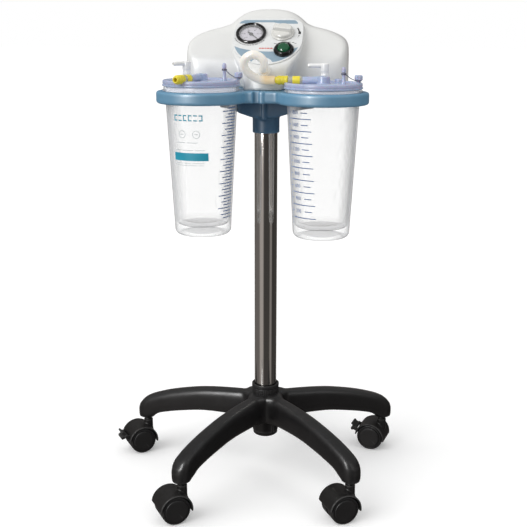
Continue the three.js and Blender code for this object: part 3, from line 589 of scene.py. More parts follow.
WHITE = plastic("white_fitting", (0.90, 0.90, 0.885), 0.25, 0.02, (1500, 0.08), 0.1)
KNOB_WHITE = plastic("white_knob", (0.72, 0.715, 0.68), 0.25, 0.025, (1500, 0.08), 0.12)
YELLOW = plastic("bright_yellow", (0.88, 0.74, 0.05), 0.3, 0.06, (1400, 0.1), 0.1)
CASING = plastic("casing_white", (0.77, 0.772, 0.755), 0.34, 0.012, (900, 0.10), 0.12)
PANEL_FILM = plastic("panel_film", (0.775, 0.785, 0.78), 0.25, 0.01, (2200, 0.06))
BLACK_GLOSS = plastic("instrument_black", (0.004, 0.004, 0.0045), 0.16, 0.1, (2000, 0.06), 0.0, 0.3)
GREEN = plastic("switch_green", (0.003, 0.085, 0.03), 0.2, 0.12, (900, 0.1), 0.1, Coat_Weight=0.6)
DIAL = plastic("dial_card", (0.60, 0.575, 0.63), 0.5, 0.03, (1800, 0.1))
INK_BLACK = plastic("ink_black", (0.02, 0.02, 0.022), 0.5, 0.2, (1500, 0.1))
INK_BAND = plastic("ink_blue_grey", (0.27, 0.375, 0.46), 0.3, 0.05, (2200, 0.06))
INK_RED = plastic("ink_red", (0.62, 0.07, 0.05), 0.4, 0.1, (1500, 0.1))
INK_BLUE = plastic("ink_blue", (0.028, 0.10, 0.29), 0.45, 0.12, (1500, 0.1))
INK_CYAN = plastic("ink_cyan", (0.012, 0.33, 0.47), 0.4, 0.08, (1500, 0.1))
INK_PALE = plastic("ink_pale_grey", (0.45, 0.52, 0.55), 0.5, 0.1, (1500, 0.1))
STRAP = plastic("rubber_strap", (0.10, 0.11, 0.16), 0.5, 0.15, (1200, 0.2))
NEEDLE = plastic("needle_black", (0.02, 0.02, 0.02), 0.35, 0.1, (1500, 0.08))
JAR = clear("clear_polycarbonate", (0.93, 0.94, 0.95), 0.03, 0.85, 0.05, 0.02, (0.40, 0.42, 0.45), 0.12)
# The film and the cuffs glow faintly, in place of light scattered inside them, which is not physical.
FILM = clear("liner_film", (0.95, 0.95, 0.94), 0.11, 0.52, 0.2, 0.06, (0.55, 0.545, 0.54), 0.7,
             Emission_Color=(1, 1, 1, 1), Emission_Strength=0.12)
CUFF = plastic("liner_cuff", (0.92, 0.92, 0.98), 0.3, 0.03, (900, 0.2), 0.4, Emission_Color=(0.9, 0.9, 1, 1),
               Emission_Strength=0.2)
GLASS = clear("gauge_glass", (0.95, 0.96, 0.97), 0.06, 0.4, 0.03, 0.01, (0.6, 0.6, 0.62), 0.02)
SLEEVE = clear("clear_sleeve", (0.80, 0.80, 0.68), 0.35, 0.8, 0.12, 0.06, (0.45, 0.46, 0.36), 0.2)


def hose_material():
    """Translucent silicone, tinted where the yellow spigot stands inside it.

    It glows faintly, in place of light scattered inside it, which is not physical.
    """
    m = Nodes("silicone_hose")
    clouds = m.noise(40, 4)
    low, high = shades((0.80, 0.775, 0.72), 0.04)
    body = m.ramp(clouds, 0, low, high)
    split = m.add("ShaderNodeSeparateXYZ")
    m.link(m.place, "Object", split, 0)
    inside = m.ramp(split, "X", 0, 1, world(-4, 0, 0).x, world(7, 0, 0).x)
    below = m.ramp(split, "Z", 1, 0, world(0, 0, 730).z, world(0, 0, 733).z)
    both = m.add("ShaderNodeMath", operation="MULTIPLY")
    m.link(inside, 0, both, 0)
    m.link(below, 0, both, 1)
    tinted = m.blend(both, 0, (body, 0), (0.80, 0.60, 0.30))
    m.link(tinted, 2, m.shader, "Base Color")
    m.link(m.ramp(m.noise(90, 4), 0, 0.24, 0.36), 0, m.shader, "Roughness")
    m.bump([(m.noise(60, 2), 0.15, 0.3)])
    m.set(Subsurface_Weight=0.55, Subsurface_Scale=0.006, Coat_Weight=0.25, Emission_Color=(1, 0.97, 0.92, 1),
          Emission_Strength=0.16)
    m.shader.inputs["Subsurface Radius"].default_value = (1.0, 0.85, 0.65)
    return m.material


SILICONE = hose_material()


# ------------------------------------------------------------------ pieces


def piece(name, shape, body, look, place=None, replaces=(), crease=32):
    """A shape as an object that rides on a CAD body. place maps the shape's frame into the pump's."""
    points, faces = shape if place is None else move(shape, place)
    points, _ = move((points, ()), HEAD)
    mesh = bpy.data.meshes.new(name)
    mesh.from_pydata(points.tolist(), [], faces)
    if len(faces) < 12000:
        tidy = bmesh.new()
        tidy.from_mesh(mesh)
        bmesh.ops.recalc_face_normals(tidy, faces=tidy.faces)
        tidy.to_mesh(mesh)
        tidy.free()
    mesh.shade_smooth()
    mesh.set_sharp_from_angle(angle=math.radians(crease))
    mesh.materials.append(look)
    made = bpy.data.objects.new(name, mesh)
    bpy.context.scene.collection.objects.link(made)
    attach(made, body)
    if replaces:
        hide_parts(*replaces)
    return made


def text_shape(words, size, thick=0.12):
    """Flat raised lettering in X and Y, centred on the origin."""
    curve = bpy.data.curves.new("words", "FONT")
    curve.body = words
    curve.size = size
    curve.align_x = "CENTER"
    curve.align_y = "CENTER"
    curve.extrude = thick / 2
    curve.resolution_u = 2
    holder = bpy.data.objects.new("words", curve)
    bpy.context.scene.collection.objects.link(holder)
    mesh = holder.to_mesh()
    points = np.array([v.co for v in mesh.vertices], float).reshape(-1, 3)
    faces = [tuple(p.vertices) for p in mesh.polygons]
    holder.to_mesh_clear()
    bpy.data.objects.remove(holder)
    bpy.data.curves.remove(curve)
    return points, faces


# The hose comes first, with what the pump's frame says about its route
hose_path = smooth_path(HOSE_ROUTE, 1.0)
hose = piece("silicone_hose", sweep(hose_path, HOSE_R, 28), "trolley", SILICONE,
             replaces=["link_hose"])


# ------------------------------------------------------------------ base, pole and collar

ARM_COUNT = 5
STEM_CIRCLE = 240
STEM_FOOT = 67
rear_stem = JOINTS["castor_rear_swivel"]["pos_m"]
BASE_TURN = math.atan2(rear_stem[1] - POLE.y, rear_stem[0] - POLE.x)

arm_top = line_through([(0, 146.5), (60, 145), (120, 140.5), (158, 134), (190, 126.5), (214, 119), (232, 112),
                        (244, 105), (256, 93)])
arm_low = line_through([(0, 94), (30, 95), (60, 97.5), (120, 97), (158, 91.5), (190, 85), (214, 78),
                        (226, 70),
                        (236, 65), (256, 64)])
arm_half = line_through([(0, 17), (60, 21), (120, 20.5), (190, 19), (228, 18.3), (244, 17.8), (256, 17)])


def base_field(x, y, z):
    radius = np.hypot(x, y)
    angle = np.arctan2(y, x) - BASE_TURN
    sector = 2 * math.pi / ARM_COUNT
    angle = (angle + sector / 2) % sector - sector / 2
    along, across = radius * np.cos(angle), radius * np.sin(angle)
    top, low, half = arm_top(along), arm_low(along), arm_half(along)
    middle, tall = (top + low) / 2, (top - low) / 2
    power = 3.0
    oval = (np.abs(across / half) ** power + np.abs((z - middle) / tall) ** power) ** (1 / power)
    arm = (oval - 1) * np.minimum(half, tall)
    tip = np.hypot(np.maximum(along - 236, 0), across) - 21 + np.maximum(0, z - 84) * 0.10
    arm = smooth_max(arm, tip, 9)
    boss = disc_field(along - STEM_CIRCLE, across, z, 12.6, STEM_FOOT, 92, 2.5)
    arm = smooth_min(arm, boss, 5)
    shoulder = disc_field(x, y, z, 33, 101, 145.5, 9)
    sleeve = disc_field(x, y, z, 23.5, 72, 130, 2)
    body = smooth_min(smooth_min(arm, shoulder, 13), sleeve, 4)
    body = np.where(radius > 60, smooth_max(body, STEM_FOOT - z, 1.5), body)
    return smooth_max(body, 20.4 - radius, 1.2)


BASE_PITCH = 2.4
piece("base_arms", surface(base_field, (-262, -262, 62), (262, 262, 148), BASE_PITCH), "trolley",
      BASE_BLACK, replaces=["base_star"], crease=50)

plug = [(0, 65, 0), (18, 65), (21.5, 67), (22.6, 68.2), (22.6, 71.6), (19, 71.6), (18, 96), (0, 96)]
piece("hub_cap", lathe(soften(plug, 0.8), 64), "trolley", BASE_BLACK, replaces=["hub_plug"])

COLLAR_LOW, COLLAR_HIGH = 147.3, 166.2


def collar_ribs(angle, r, z):
    return r + 0.45 * max(0.0, math.cos(48 * angle)) if r > 23.5 and z < 158.5 else r


collar = [(20.4, COLLAR_LOW), (23.2, COLLAR_LOW), (24.1, 148.4), (24.1, 157.6), (23.3, 158.4), (23.3, 159.4),
          (24.9, 160.4), (24.9, 165.2), (23.9, COLLAR_HIGH), (22.0, COLLAR_HIGH), (21.6, 164.2),
          (20.4, 164.2)]
piece("ribbed_collar", lathe(soften(collar, 0.3, 2, True), 288, True, collar_ribs), "trolley",
      BASE_BLACK, replaces=["pole_collar"])

POLE_R = 20
tube = [(18.5, 84), (POLE_R, 84), (POLE_R, 668), (18.5, 668)]
piece("chromed_pole", lathe(soften(tube, 0.4, 3, True), 128, True), "trolley", CHROME,
      replaces=["pole"])


# ------------------------------------------------------------------ castors, drawn trailing towards +X

TRAIL, WHEEL_R = 18, 25
HOOD_R, WELL_R, HOOD_HALF, WEB_HALF, HOOD_TOP = 29, 26.6, 25, 2.6, 60.8
PEDAL_ANGLE, PEDAL_REACH, PEDAL_HALF = 20, 33.8, 12.2
PEDAL_AT = Vector((TRAIL + PEDAL_REACH * math.cos(math.radians(PEDAL_ANGLE)), 0,
                   WHEEL_R + PEDAL_REACH * math.sin(math.radians(PEDAL_ANGLE))))


def half_plane(dx, dz, degrees):
    """Positive on the right of the ray that leaves the axle at that angle."""
    a = math.radians(degrees)
    return dx * math.sin(a) - dz * math.cos(a)


def hood_field(x, y, z):
    dx, dz = x - TRAIL, z - WHEEL_R
    radius = np.hypot(dx, dz)
    drum = smooth_max(radius - HOOD_R, np.abs(y) - HOOD_HALF, 2.2)
    open_part = smooth_max(half_plane(dx, dz, 190), -half_plane(dx, dz, 6), 3)
    drum = smooth_max(drum, -open_part, 2.4)
    boss = disc_field(x, y, z, 8.5, 40, HOOD_TOP, 1.2)
    drum = smooth_min(drum, boss, 3.5)
    well = smooth_max(radius - WELL_R, WEB_HALF - np.abs(y), 1.2)
    drum = smooth_max(drum, -well, 1.0)
    axle = smooth_max(radius - 3.8, np.abs(y) - 21, 0.6)
    return smooth_min(drum, axle, 0.8)


hood = surface(hood_field, (-12, -26, -4), (48, 26, 62), 1.25)
pivot_bar = move(rod(1.6, -PEDAL_HALF - 2, PEDAL_HALF + 2, 20), Matrix.Translation(PEDAL_AT) @ spin(90, "X"))
ears = []
for side in (-1, 1):
    plate = soften([(-8.5, -3.6), (1, -3.6, 3.5), (3.6, 0, 3.5), (1, 3.6, 3.5), (-8.5, 3.6)], 0.6, 5, True)
    ear = prism(plate, -1.5, 1.5, 0.5)
    upright = spin(-PEDAL_ANGLE, "Y") @ spin(90, "X")
    ears.append(move(ear, Matrix.Translation(PEDAL_AT + Vector((0, side * (PEDAL_HALF + 1.9), 0))) @ upright))
brake_hood = join(hood, pivot_bar, *ears)

tread = [(0, 21.6), (4.2, 21.6), (4.2, 3.2), (22, 3.2, 1), (25, 4.6, 1.4), (25, 19.6, 2.5), (23.6, 22.2, 2)]
face = [(21.2, 22.4, 0.6), (20.9, 21.4, 0.3), (20.3, 21.4, 0.3), (19.6, 23.4, 1.2), (17, 24.1, 2), (0, 24.1)]
wheel = lathe(soften([*tread, *face], 0.5, 5), 72)
neck = [(0, 50.4), (3.6, 50.4), (3.6, 61), (7.4, 61.1), (7.4, 62.6), (6.7, 63.2), (6.7, 66.7), (5, 66.7),
        (5, 91),
        (0, 91)]
stem = lathe(soften(neck, 0.3, 2), 40)

# Degrees above level, where the CAD's pedal stands at 28.
PEDAL_RAISED = 48
blade_side = [(-1, -1.6), (7, -1.6, 3), (10.4, -2.0, 1.4), (12.4, 0.2, 1.2), (10.8, 2.2, 1), (7, 2.2, 3),
              (4, 2.9, 3),
              (-1, 2.6)]
lobe_side = [(-3.5, 0.9, 3), (3.5, -0.9, 3), (5.4, -8.2, 3.2), (1, -11, 3), (-1.8, -6.4, 3)]
blade = join(prism(soften(blade_side, 0.6, 4, True), -PEDAL_HALF + 1, PEDAL_HALF - 1, 1.0),
             prism(soften(lobe_side, 0.6, 5, True), -PEDAL_HALF + 1.4, PEDAL_HALF - 1.4, 1.2))
blade = move(blade, spin(90, "X"))
barrel = lathe(soften([(2.0, -PEDAL_HALF), (3.6, -PEDAL_HALF), (3.6, PEDAL_HALF), (2.0, PEDAL_HALF)], 0.4, 3,
                      True),
               32, True)
pedal = join(blade, move(barrel, spin(90, "X")))

for castor in ("rear", "left", "front_left", "front_right", "right"):
    swivel = JOINTS[f"castor_{castor}_swivel"]["pos_m"]
    axle_x, axle_y, _ = JOINTS[f"castor_{castor}_wheel_a_spin"]["axis"]
    heading = math.degrees(math.atan2(-axle_x, axle_y))
    stand = at((swivel[0] - POLE.x) / MM, (swivel[1] - POLE.y) / MM) @ spin(heading)
    node = f"castor_{castor}"
    braked = f"{node}_brake" in frame["bodies"]
    piece(f"{node}_neck", stem, "trolley", DARK_STEEL, stand, [f"{node}_stem"])
    piece(f"{node}_shell", brake_hood if braked else hood, node, CASTOR_BLACK, stand,
          [f"{node}_hood"], 45)
    for letter, turned in (("a", 0), ("b", 180)):
        axle = at(TRAIL, 0, WHEEL_R) @ spin(turned) @ spin(-90, "X")
        piece(f"{node}_tyre_{letter}", wheel, f"{node}_wheel_{letter}", WHEEL_BLACK,
              stand @ axle, [f"{node}_wheel_{letter}"])
    if braked:
        piece(f"{node}_pedal", pedal, f"{node}_brake", CASTOR_BLACK,
              stand @ Matrix.Translation(PEDAL_AT) @ spin(-PEDAL_RAISED, "Y"), [f"{node}_brake_pedal"])


# ------------------------------------------------------------------ bracket and holder

CANISTER_X, CANISTER_Y = 101.5, -56
RING_R, RING_HOLE_R = 75, 62.5
HOLDER_LOW, HOLDER_HIGH = 681, 701
SOCKET_R, SOCKET_LOW = 23.2, 627
SCREW_Z = 640


def canister_radius(x, y):
    return np.hypot(np.abs(x) - CANISTER_X, y - CANISTER_Y)


wing_low = line_through([(0, 654.5), (20, 655), (34, 659), (54, 665), (84, 668.5)])


def bracket_field(x, y, z):
    side = np.abs(x)
    wing = box_field(x, y, z, (0, 16, 665), (82, 46, 15.7), 2.5)
    wing = smooth_max(wing, (wing_low(side) - z) * 0.93, 3)
    wing = smooth_max(wing, 64 - canister_radius(x, y), 2)
    rib = box_field(x, y, z, (0, -29, 666), (3.4, 3.2, 14.5), 1.2)
    wing = smooth_min(wing, rib, 3)
    socket = disc_field(x, y, z, SOCKET_R, SOCKET_LOW, 664, 1.8)
    body = smooth_min(wing, socket, 6)
    return smooth_max(body, 20.3 - np.hypot(x, y), 1.0)


piece("bracket", surface(bracket_field, (-84, -34, 616), (84, 64, 682), 1.7), "trolley", NAVY,
      replaces=["pole_bracket"], crease=50)
screw = [(0, 20.3), (3, 20.3), (3, 23.5), (5.5, 23.5), (5.5, 29.2), (2.6, 29.2), (2.3, 26.4), (0, 26.4)]
piece("locking_screw", lathe(soften(screw, 0.3, 3), 32), "trolley", STEEL,
      at(0, 0, SCREW_Z) @ spin(-90, "X"), ["bracket_screw"])


def holder_field(x, y, z):
    ring = canister_radius(x, y) - RING_R
    bridge = np.maximum(np.abs(x) - 52, np.abs(y + 3) - 63)
    plan = smooth_min(ring, bridge, 7)
    deep = smooth_max(plan, np.abs(z - (HOLDER_LOW + HOLDER_HIGH) / 2) - 10, 5)
    tray = box_field(x, y, z, (0, 44, 697), (128, 74, 4), 1.5)
    corner = np.hypot(np.maximum(np.abs(x) - 98, 0), np.maximum(y - 88, 0)) - 30
    tray = smooth_max(tray, corner, 1.5)
    body = smooth_min(deep, tray, 3)
    body = smooth_max(body, RING_HOLE_R - canister_radius(x, y), 1.6)
    slot = box_field(x, y, z, (-9, -67, 689), (5, 9, 30), 2)
    rib = box_field(x, y, z, (1, -63, 690.5), (3.6, 4.6, 10), 2)
    return smooth_min(smooth_max(body, -slot, 1.5), rib, 1.5)


piece("ring_holder", surface(holder_field, (-178, -133, 680), (178, 119, 702), 1.8), "trolley",
      SKY,
      replaces=["canister_holder"], crease=50)


# ------------------------------------------------------------------ canisters

LID_TOP, LID_BAND = 720.5, 10
LID_LOW = LID_TOP - LID_BAND
PORT_Z = LID_TOP + 3
PORT_END, SLEEVE_END, CONNECTOR_END = 34, 58, 79.5
ELBOW_AT = 28

LID_DROP = {"left": 1.5, "right": 4.5}


def jar_shape(top):
    outside = [(0, 463.2), (30, 463.2, 5), (37, 460.2, 2), (44, 460.2, 5), (47.9, 466, 6), (60.4, 698, 1),
               (60.4, 701.4, 0.4), (64.4, 701.4, 0.5), (64.4, 703.4, 0.5), (62.6, 703.9, 0.4),
               (62.6, top, 0.4)]
    inside = [(58.2, top, 0.4), (45.8, 482, 4), (41, 476.2, 6), (0, 476.2)]
    return lathe(soften([*outside, *inside], 0.6, 6), 96)


def wall_radius(z, outside=True):
    """The jar wall's radius at a height."""
    share = (z - 466) / (698 - 466)
    return (47.9 if outside else 45.3) + share * 12.5


def liner_shape(seed, high):
    """A crumpled film bag: soft creases run down and across it, and gather towards its bottom."""
    draw = random.Random(seed)
    waves = []
    for _ in range(15):
        waves.append((draw.choice((2, 3, 4, 5, 7, 9, 12)), draw.uniform(-0.03, 0.03), draw.uniform(0, 6.3),
                      draw.uniform(0.3, 1.0)))
    rows, sides = 72, 150
    low = 479.0
    points, faces = [], []
    for j in range(rows + 1):
        t = j / rows
        z = low + (high - low) * t
        limit = wall_radius(z, False) - 0.7
        closing = math.sqrt(max(0.0, 1 - (1 - min(1, t / 0.05)) ** 2))
        slack = min(1, t / 0.12) * min(1, (1 - t) / 0.16) * (1.15 - 0.5 * t)
        for i in range(sides):
            angle = 2 * math.pi * i / sides
            fold = 0.0
            for count, lean, phase, weight in waves:
                wave = math.sin(count * angle + lean * (z - low) * count * 0.35 + phase)
                fold += weight * (1 - abs(wave)) ** 1.6 / len(waves)
            cross = math.sin(0.085 * z + 2.2 * math.sin(2 * angle + seed)) * math.sin(3 * angle + 0.02 * z)
            depth = slack * (13.0 * fold + 1.1 * max(0.0, cross))
            r = max(2.0, (limit - depth) * closing) if j else 0.5
            points.append((r * math.cos(angle), r * math.sin(angle), z))
    for j in range(rows):
        for i in range(sides):
            k = (i + 1) % sides
            faces.append((j * sides + i, j * sides + k, (j + 1) * sides + k, (j + 1) * sides + i))
    faces.append(tuple(reversed(range(sides))))
    return np.array(points), faces


lid_disc = [(0, LID_LOW), (63.6, LID_LOW, 0.5), (64, 711.2, 0.4), (64, 713.4, 0.3), (63.3, 713.9, 0.2),
            (63.3, 714.5, 0.2), (64, 715, 0.3), (64, 718.8, 1.4), (62.4, 720.5, 1.2), (57, 720.5, 1.5),
            (54, 717.4, 1.5), (30, 717.2, 1), (28, 718.3, 1), (12.5, 718.5, 0)]
lid_disc += [(11, 720, 1.5), (10.6, 729.2, 1.2), (9, 730, 0.8), (0, 730)]


def lid_shape():
    disc = lathe(soften(lid_disc, 0.5, 4), 120)
    port_profile = [(0, 0), (7.6, 0), (6.3, 14, 6), (6.1, PORT_END - 3), (6.1, PORT_END, 0.5), (0, PORT_END)]
    port = move(lathe(soften(port_profile, 0.5), 40), at(0, 0, PORT_Z) @ spin(-90, "Y"))
    gusset = move(prism([(-30, -4), (-9, -4), (-9, 5.5), (-13, 5.5)], -1.0, 1.0, 0.4),
                  at(0, 0, PORT_Z - 1) @ spin(90, "X"))
    stub_profile = [(0, 717), (10.5, 717.4), (8.2, 719.5, 3), (7.2, 722, 2), (7.2, 727.4, 0.6), (0, 727.4)]
    stub = move(lathe(soften(stub_profile, 0.6), 48), at(0, ELBOW_AT))
    post_profile = [(0, 717), (6.2, 717.2), (3.6, 720, 3), (2.9, 726, 3), (2.5, 737.4), (3.5, 738.3, 0.4),
                    (3.5, 743.4, 0.8), (2.2, 746.3, 1), (0, 746.4)]
    post = move(lathe(soften(post_profile, 0.5), 32), at(34, -25))
    spare_profile = [(0, 717), (9.5, 717.3), (8, 719, 2), (7.6, 724.2, 0.8), (6.2, 724.6, 0.4),
                     (5.2, 721.5, 0.5),
                     (0, 721.5)]
    spare = move(lathe(soften(spare_profile, 0.5), 40), at(24, 30))
    grips = [move(prism(rounded_box(-1.1, 1.1, -5, 5, 1), 710.8, 713.2, 0.3), spin(a) @ at(63.6, 0))
             for a in range(0, 360, 15)]
    return join(disc, port, gusset, stub, post, spare, *grips)


lid = lid_shape()

sleeve = [(3.6, PORT_END + 0.3), (6.3, PORT_END + 0.3), (6.3, 56.5), (5.9, SLEEVE_END), (3.6, SLEEVE_END)]
sleeve = lathe(soften(sleeve, 0.5, 3, True), 40, True)
ring_low, ring_high = 37.5, 50.5
inner_ring = [(2.2, ring_low), (3.4, ring_low), (3.4, ring_high), (2.2, ring_high)]
inner_ring = lathe(soften(inner_ring, 0.3, 2, True), 32, True)
sleeve_band = [(6.35, 38), (7.0, 38.6), (7.0, 50), (6.35, 50.6)]
sleeve_band = lathe(soften(sleeve_band, 0.3, 3, True), 40, True)

connector = [(2.6, 58.4), (6.6, 58.4), (7.4, 59.2), (7.4, 62.2), (6.9, 62.7), (6.9, 64.3), (7.4, 64.8),
             (7.4, 67.8),
             (6.9, 68.3), (6.9, 69.9), (7.4, 70.4), (7.4, 74.2), (6.4, 74.9), (6.4, 76.6),
             (5.0, CONNECTOR_END),
             (3.4, CONNECTOR_END), (3.2, 70), (2.6, 70)]
connector = lathe(soften(connector, 0.3, 3, True), 48, True)

elbow_top = LID_TOP + 29.5
upright = [(0, 727.9), (6.9, 727.9), (6.9, 731.5), (6.3, 732.3), (6.3, 736), (6.9, 736.8),
           (6.9, elbow_top - 1.2, 2),
           (5.0, elbow_top, 1.5), (0, elbow_top)]
arm = [(0, -2), (3.5, 0), (3.5, 24.5), (3.2, 25.6), (2.9, 28), (2.0, 28), (1.8, 18), (0, 18)]
elbow = join(lathe(soften(upright, 0.6), 48),
             move(lathe(soften(arm, 0.35, 3), 36), at(0, 0, elbow_top - 4) @ spin(-90, "Y")))

cap = [(0, LID_TOP + 0.3), (3.4, LID_TOP + 0.3), (3.4, 724.2, 0.5), (6.6, 724.8, 0.6), (6.6, 731.2, 0.8),
       (5.6, 732.6, 1), (0, 732.8)]


def cap_grips(angle, r, z):
    return r - 0.35 * max(0.0, math.cos(14 * angle)) if r > 6 else r


cap = lathe(soften(cap, 0.4), 112, radial=cap_grips)



def on_wall(shape, turn_degrees, gap=0.08):
    """Bends a flat print around the jar's wall: X runs along the wall and Z is height above the floor."""
    points, faces = shape
    bent = points.copy()
    radius = wall_radius(points[:, 2]) + gap + points[:, 1]
    angle = math.radians(turn_degrees) + points[:, 0] / radius
    bent[:, 0], bent[:, 1] = radius * np.cos(angle), radius * np.sin(angle)
    return bent, faces


def strip(x0, x1, z0, z1, steps=6, thick=0.12):
    """A thin print in X and Z, cut into steps so that it can bend."""
    points, faces = [], []
    for i in range(steps + 1):
        x = x0 + (x1 - x0) * i / steps
        points += [(x, 0, z0), (x, 0, z1), (x, thick, z1), (x, thick, z0)]
    for i in range(steps):
        for k in range(4):
            a, b = 4 * i + k, 4 * i + (k + 1) % 4
            faces.append((a, a + 4, b + 4, b))
    faces += [(0, 1, 2, 3), (4 * steps + 3, 4 * steps + 2, 4 * steps + 1, 4 * steps)]
    return np.array(points, float), faces


def upright_text(words, size, x, z):
    points, faces = text_shape(words, size)
    return np.c_[points[:, 0] + x, points[:, 2] + 0.06, points[:, 1] + z], faces


def jar_scale(turn_degrees, fine):
    """Generic graduations. A fine scale has a line every 50 ml, and the other has numbers every 200 ml."""
    marks = []
    low, high, steps = 486, 690, 40 if fine else 20
    for k in range(1, steps + 1):
        z = low + (high - low) * (k / steps) ** 0.95
        if fine:
            length = (35, 24, 29, 24)[k % 4]
            marks.append(strip(-length, 0, z - 0.75, z + 0.75, 8))
            continue
        marks.append(strip(6 if k % 2 else 33, 52 if k % 2 else 46, z - 0.7, z + 0.7, 8))
        if k % 2 == 0:
            marks.append(upright_text(str(k * 100), 8.6, 19.5, z))
            marks.append(strip(3, 8, z - 0.6, z + 0.6, 2))
    for k in range(0 if fine else 52):
        z = low + (high - low) * k / 52
        marks.append(strip(0.2, 1.8, z, z + 2.4, 1))
    return on_wall(join(*marks), turn_degrees)


def label_shapes():
    """A generic print in place of the maker's: a bar, a row of small bars, two rings and short dashes."""
    bar = strip(-31, 31, 590.5, 603.5, 20)
    rows = [(607.5, ((-30, 12), (-14, 20), (9, 16))), (586, ((-30, 16), (-11, 12), (4, 20))),
            (582.5, ((-26, 20), (-3, 14), (14, 9))), (620, ((-24, 16), (-4, 18)))]
    small = [strip(x, x + w, z, z + 0.7) for z, spans in rows for x, w in spans]
    title = [strip(x, x + 6.4, z, z + 1.9, 3) for x in (-28, -19, -10, -1, 8, 17) for z in (655.5, 663.5)]
    title += [strip(x, x + 1.7, 657, 664, 1) for x in (-28, -10, -1, 21.5)]
    badges = []
    for x in (-13, 12):
        ring = [np.array((x + 6 * math.cos(a), 0, 634 + 6 * math.sin(a))) for a in np.linspace(0,
                                                            2 * math.pi, 25)]
        badges.append(sweep(ring, 0.35, 6))
        badges.append(strip(x - 3, x + 3, 633.6, 634.4, 2))
    return bar, join(*title), join(*small, *badges)


def strap_shape(points, width, thick):
    """A flat strap along the points."""
    return sweep(smooth_path(points, 1.2), width / 2, 12, thick / width)


LID_TURN = {"left": 70, "right": 0}
ELBOW_TURN = {"left": 50, "right": 0}
CAP_AT = {"left": (63, -1), "right": (57, 0)}
SCALE_TURN = {"left": -9, "right": -156}

for side, sign in (("left", -1), ("right", 1)):
    centre = at(sign * CANISTER_X, CANISTER_Y)
    top = LID_LOW - LID_DROP[side]
    lid_centre = centre @ at(0, 0, -LID_DROP[side])
    lid_place = lid_centre @ spin(LID_TURN[side])
    unit, cup = f"{side}_lid_unit", f"{side}_canister"
    piece(f"{side}_cup", jar_shape(top - 0.4), cup, JAR, centre, [f"{side}_jar"])
    piece(f"{side}_film_bag", liner_shape(3 if sign < 0 else 11, top - 0.9), unit, FILM, centre,
          [f"{side}_liner"], 60)
    cuff = lathe(soften([(57.6, 700.6), (58.0, 700.6), (58.0, top - 1), (57.6, top - 1)], 0.1, 2, True), 96,
                 True)
    piece(f"{side}_film_cuff", cuff, unit, CUFF, centre)
    piece(f"{side}_cover", lid, unit, LAVENDER, lid_place, [f"{side}_lid"])
    along_port = lid_place @ at(0, 0, PORT_Z) @ spin(-90, "Y")
    piece(f"{side}_sleeve", sleeve, unit, SLEEVE, along_port, [f"{side}_port_adapter"])
    piece(f"{side}_sleeve_ring", join(sleeve_band, inner_ring), unit, YELLOW, along_port)
    piece(f"{side}_tube_connector", connector, unit, YELLOW, along_port,
          [f"{side}_connector"])
    elbow_at = lid_place @ at(0, ELBOW_AT)
    elbow_place = at(*(elbow_at @ Vector((0, 0, 0)))) @ spin(ELBOW_TURN[side])
    piece(f"{side}_white_elbow", elbow, f"{side}_elbow", WHITE, elbow_place,
          [f"{side}_elbow"])
    cap_x, cap_y = CAP_AT[side]
    piece(f"{side}_cap", cap, unit, LAVENDER, lid_centre @ at(cap_x, cap_y),
          [f"{side}_port_cap"])
    post = (spin(LID_TURN[side]) @ Vector((34, -25, 0))).xy
    hook = Vector((post.x, post.y, 735.5))
    tie_end = Vector((cap_x - 4.4, cap_y - 1.5, 723.6))
    sag = (hook + tie_end) / 2 + Vector((0, -2.5, -0.5))
    tie = strap_shape([hook, hook * 0.75 + tie_end * 0.25 + Vector((0, -1.6, 0.6)), sag, tie_end], 2.4, 1.1)
    loop = move(lathe(soften([(2.75, 734), (4.3, 734), (4.3, 737), (2.75, 737)], 0.4, 3, True), 32, True),
                at(post.x, post.y))
    collar_ring = move(lathe(soften([(3.5, 723.0), (5.4, 723.0), (5.4, 724.1), (3.5, 724.1)], 0.1, 2, True),
                             32, True),
                       at(cap_x, cap_y))
    piece(f"{side}_cap_tie", join(tie, loop, collar_ring), unit, STRAP, lid_centre)
    piece(f"{side}_graduations", jar_scale(SCALE_TURN[side], sign < 0), cup, INK_BLUE, centre)

bar, title, dashes = label_shapes()
LABEL_TURN = -100.3  # degrees around the left jar
for name, shape, ink in (("bar", bar, INK_CYAN), ("title", title, INK_CYAN),
                         ("small_print", dashes, INK_PALE)):
    piece(f"left_label_{name}", on_wall(shape, LABEL_TURN), "left_canister", ink,
          at(-CANISTER_X, CANISTER_Y))


# ------------------------------------------------------------------ pump casing

PUMP_LOW, PUMP_TOP, PUMP_HALF, PUMP_FRONT, PUMP_BACK = 701.3, 833.5, 142, 10, 122
BASE_PLATE = 4
PANEL_TILT = 39
PANEL = at(0, 13, 781) @ spin(PANEL_TILT, "X")
BEZEL_R, BEZEL_HIGH, FILM_INSET, BOSS_MARGIN = 62, 61, 5, 4.5
CASING_SHIFT, BOSS_PROUD = -4.5, -0.3
SHELL_PITCH = 2.2
# The wall is thicker than a cell's diagonal, so that no cell holds both of its faces.
SHELL_THICK = SHELL_PITCH * 1.85
NOSE_FRONT = -46
NOZZLE_X, NOZZLE_Z = 4, 735
INLET_X, INLET_Z = 70, 730


def bezier(start, *curves, steps=14):
    points = [np.array(start, float)]
    for curve in curves:
        a, b, c, d = (points[-1], *[np.array(q, float) for q in curve])
        for i in range(1, steps + 1):
            t = i / steps
            points.append((1 - t) ** 3 * a + 3 * t * (1 - t) ** 2 * b + 3 * t * t * (1 - t) * c + t**3 * d)
    return points


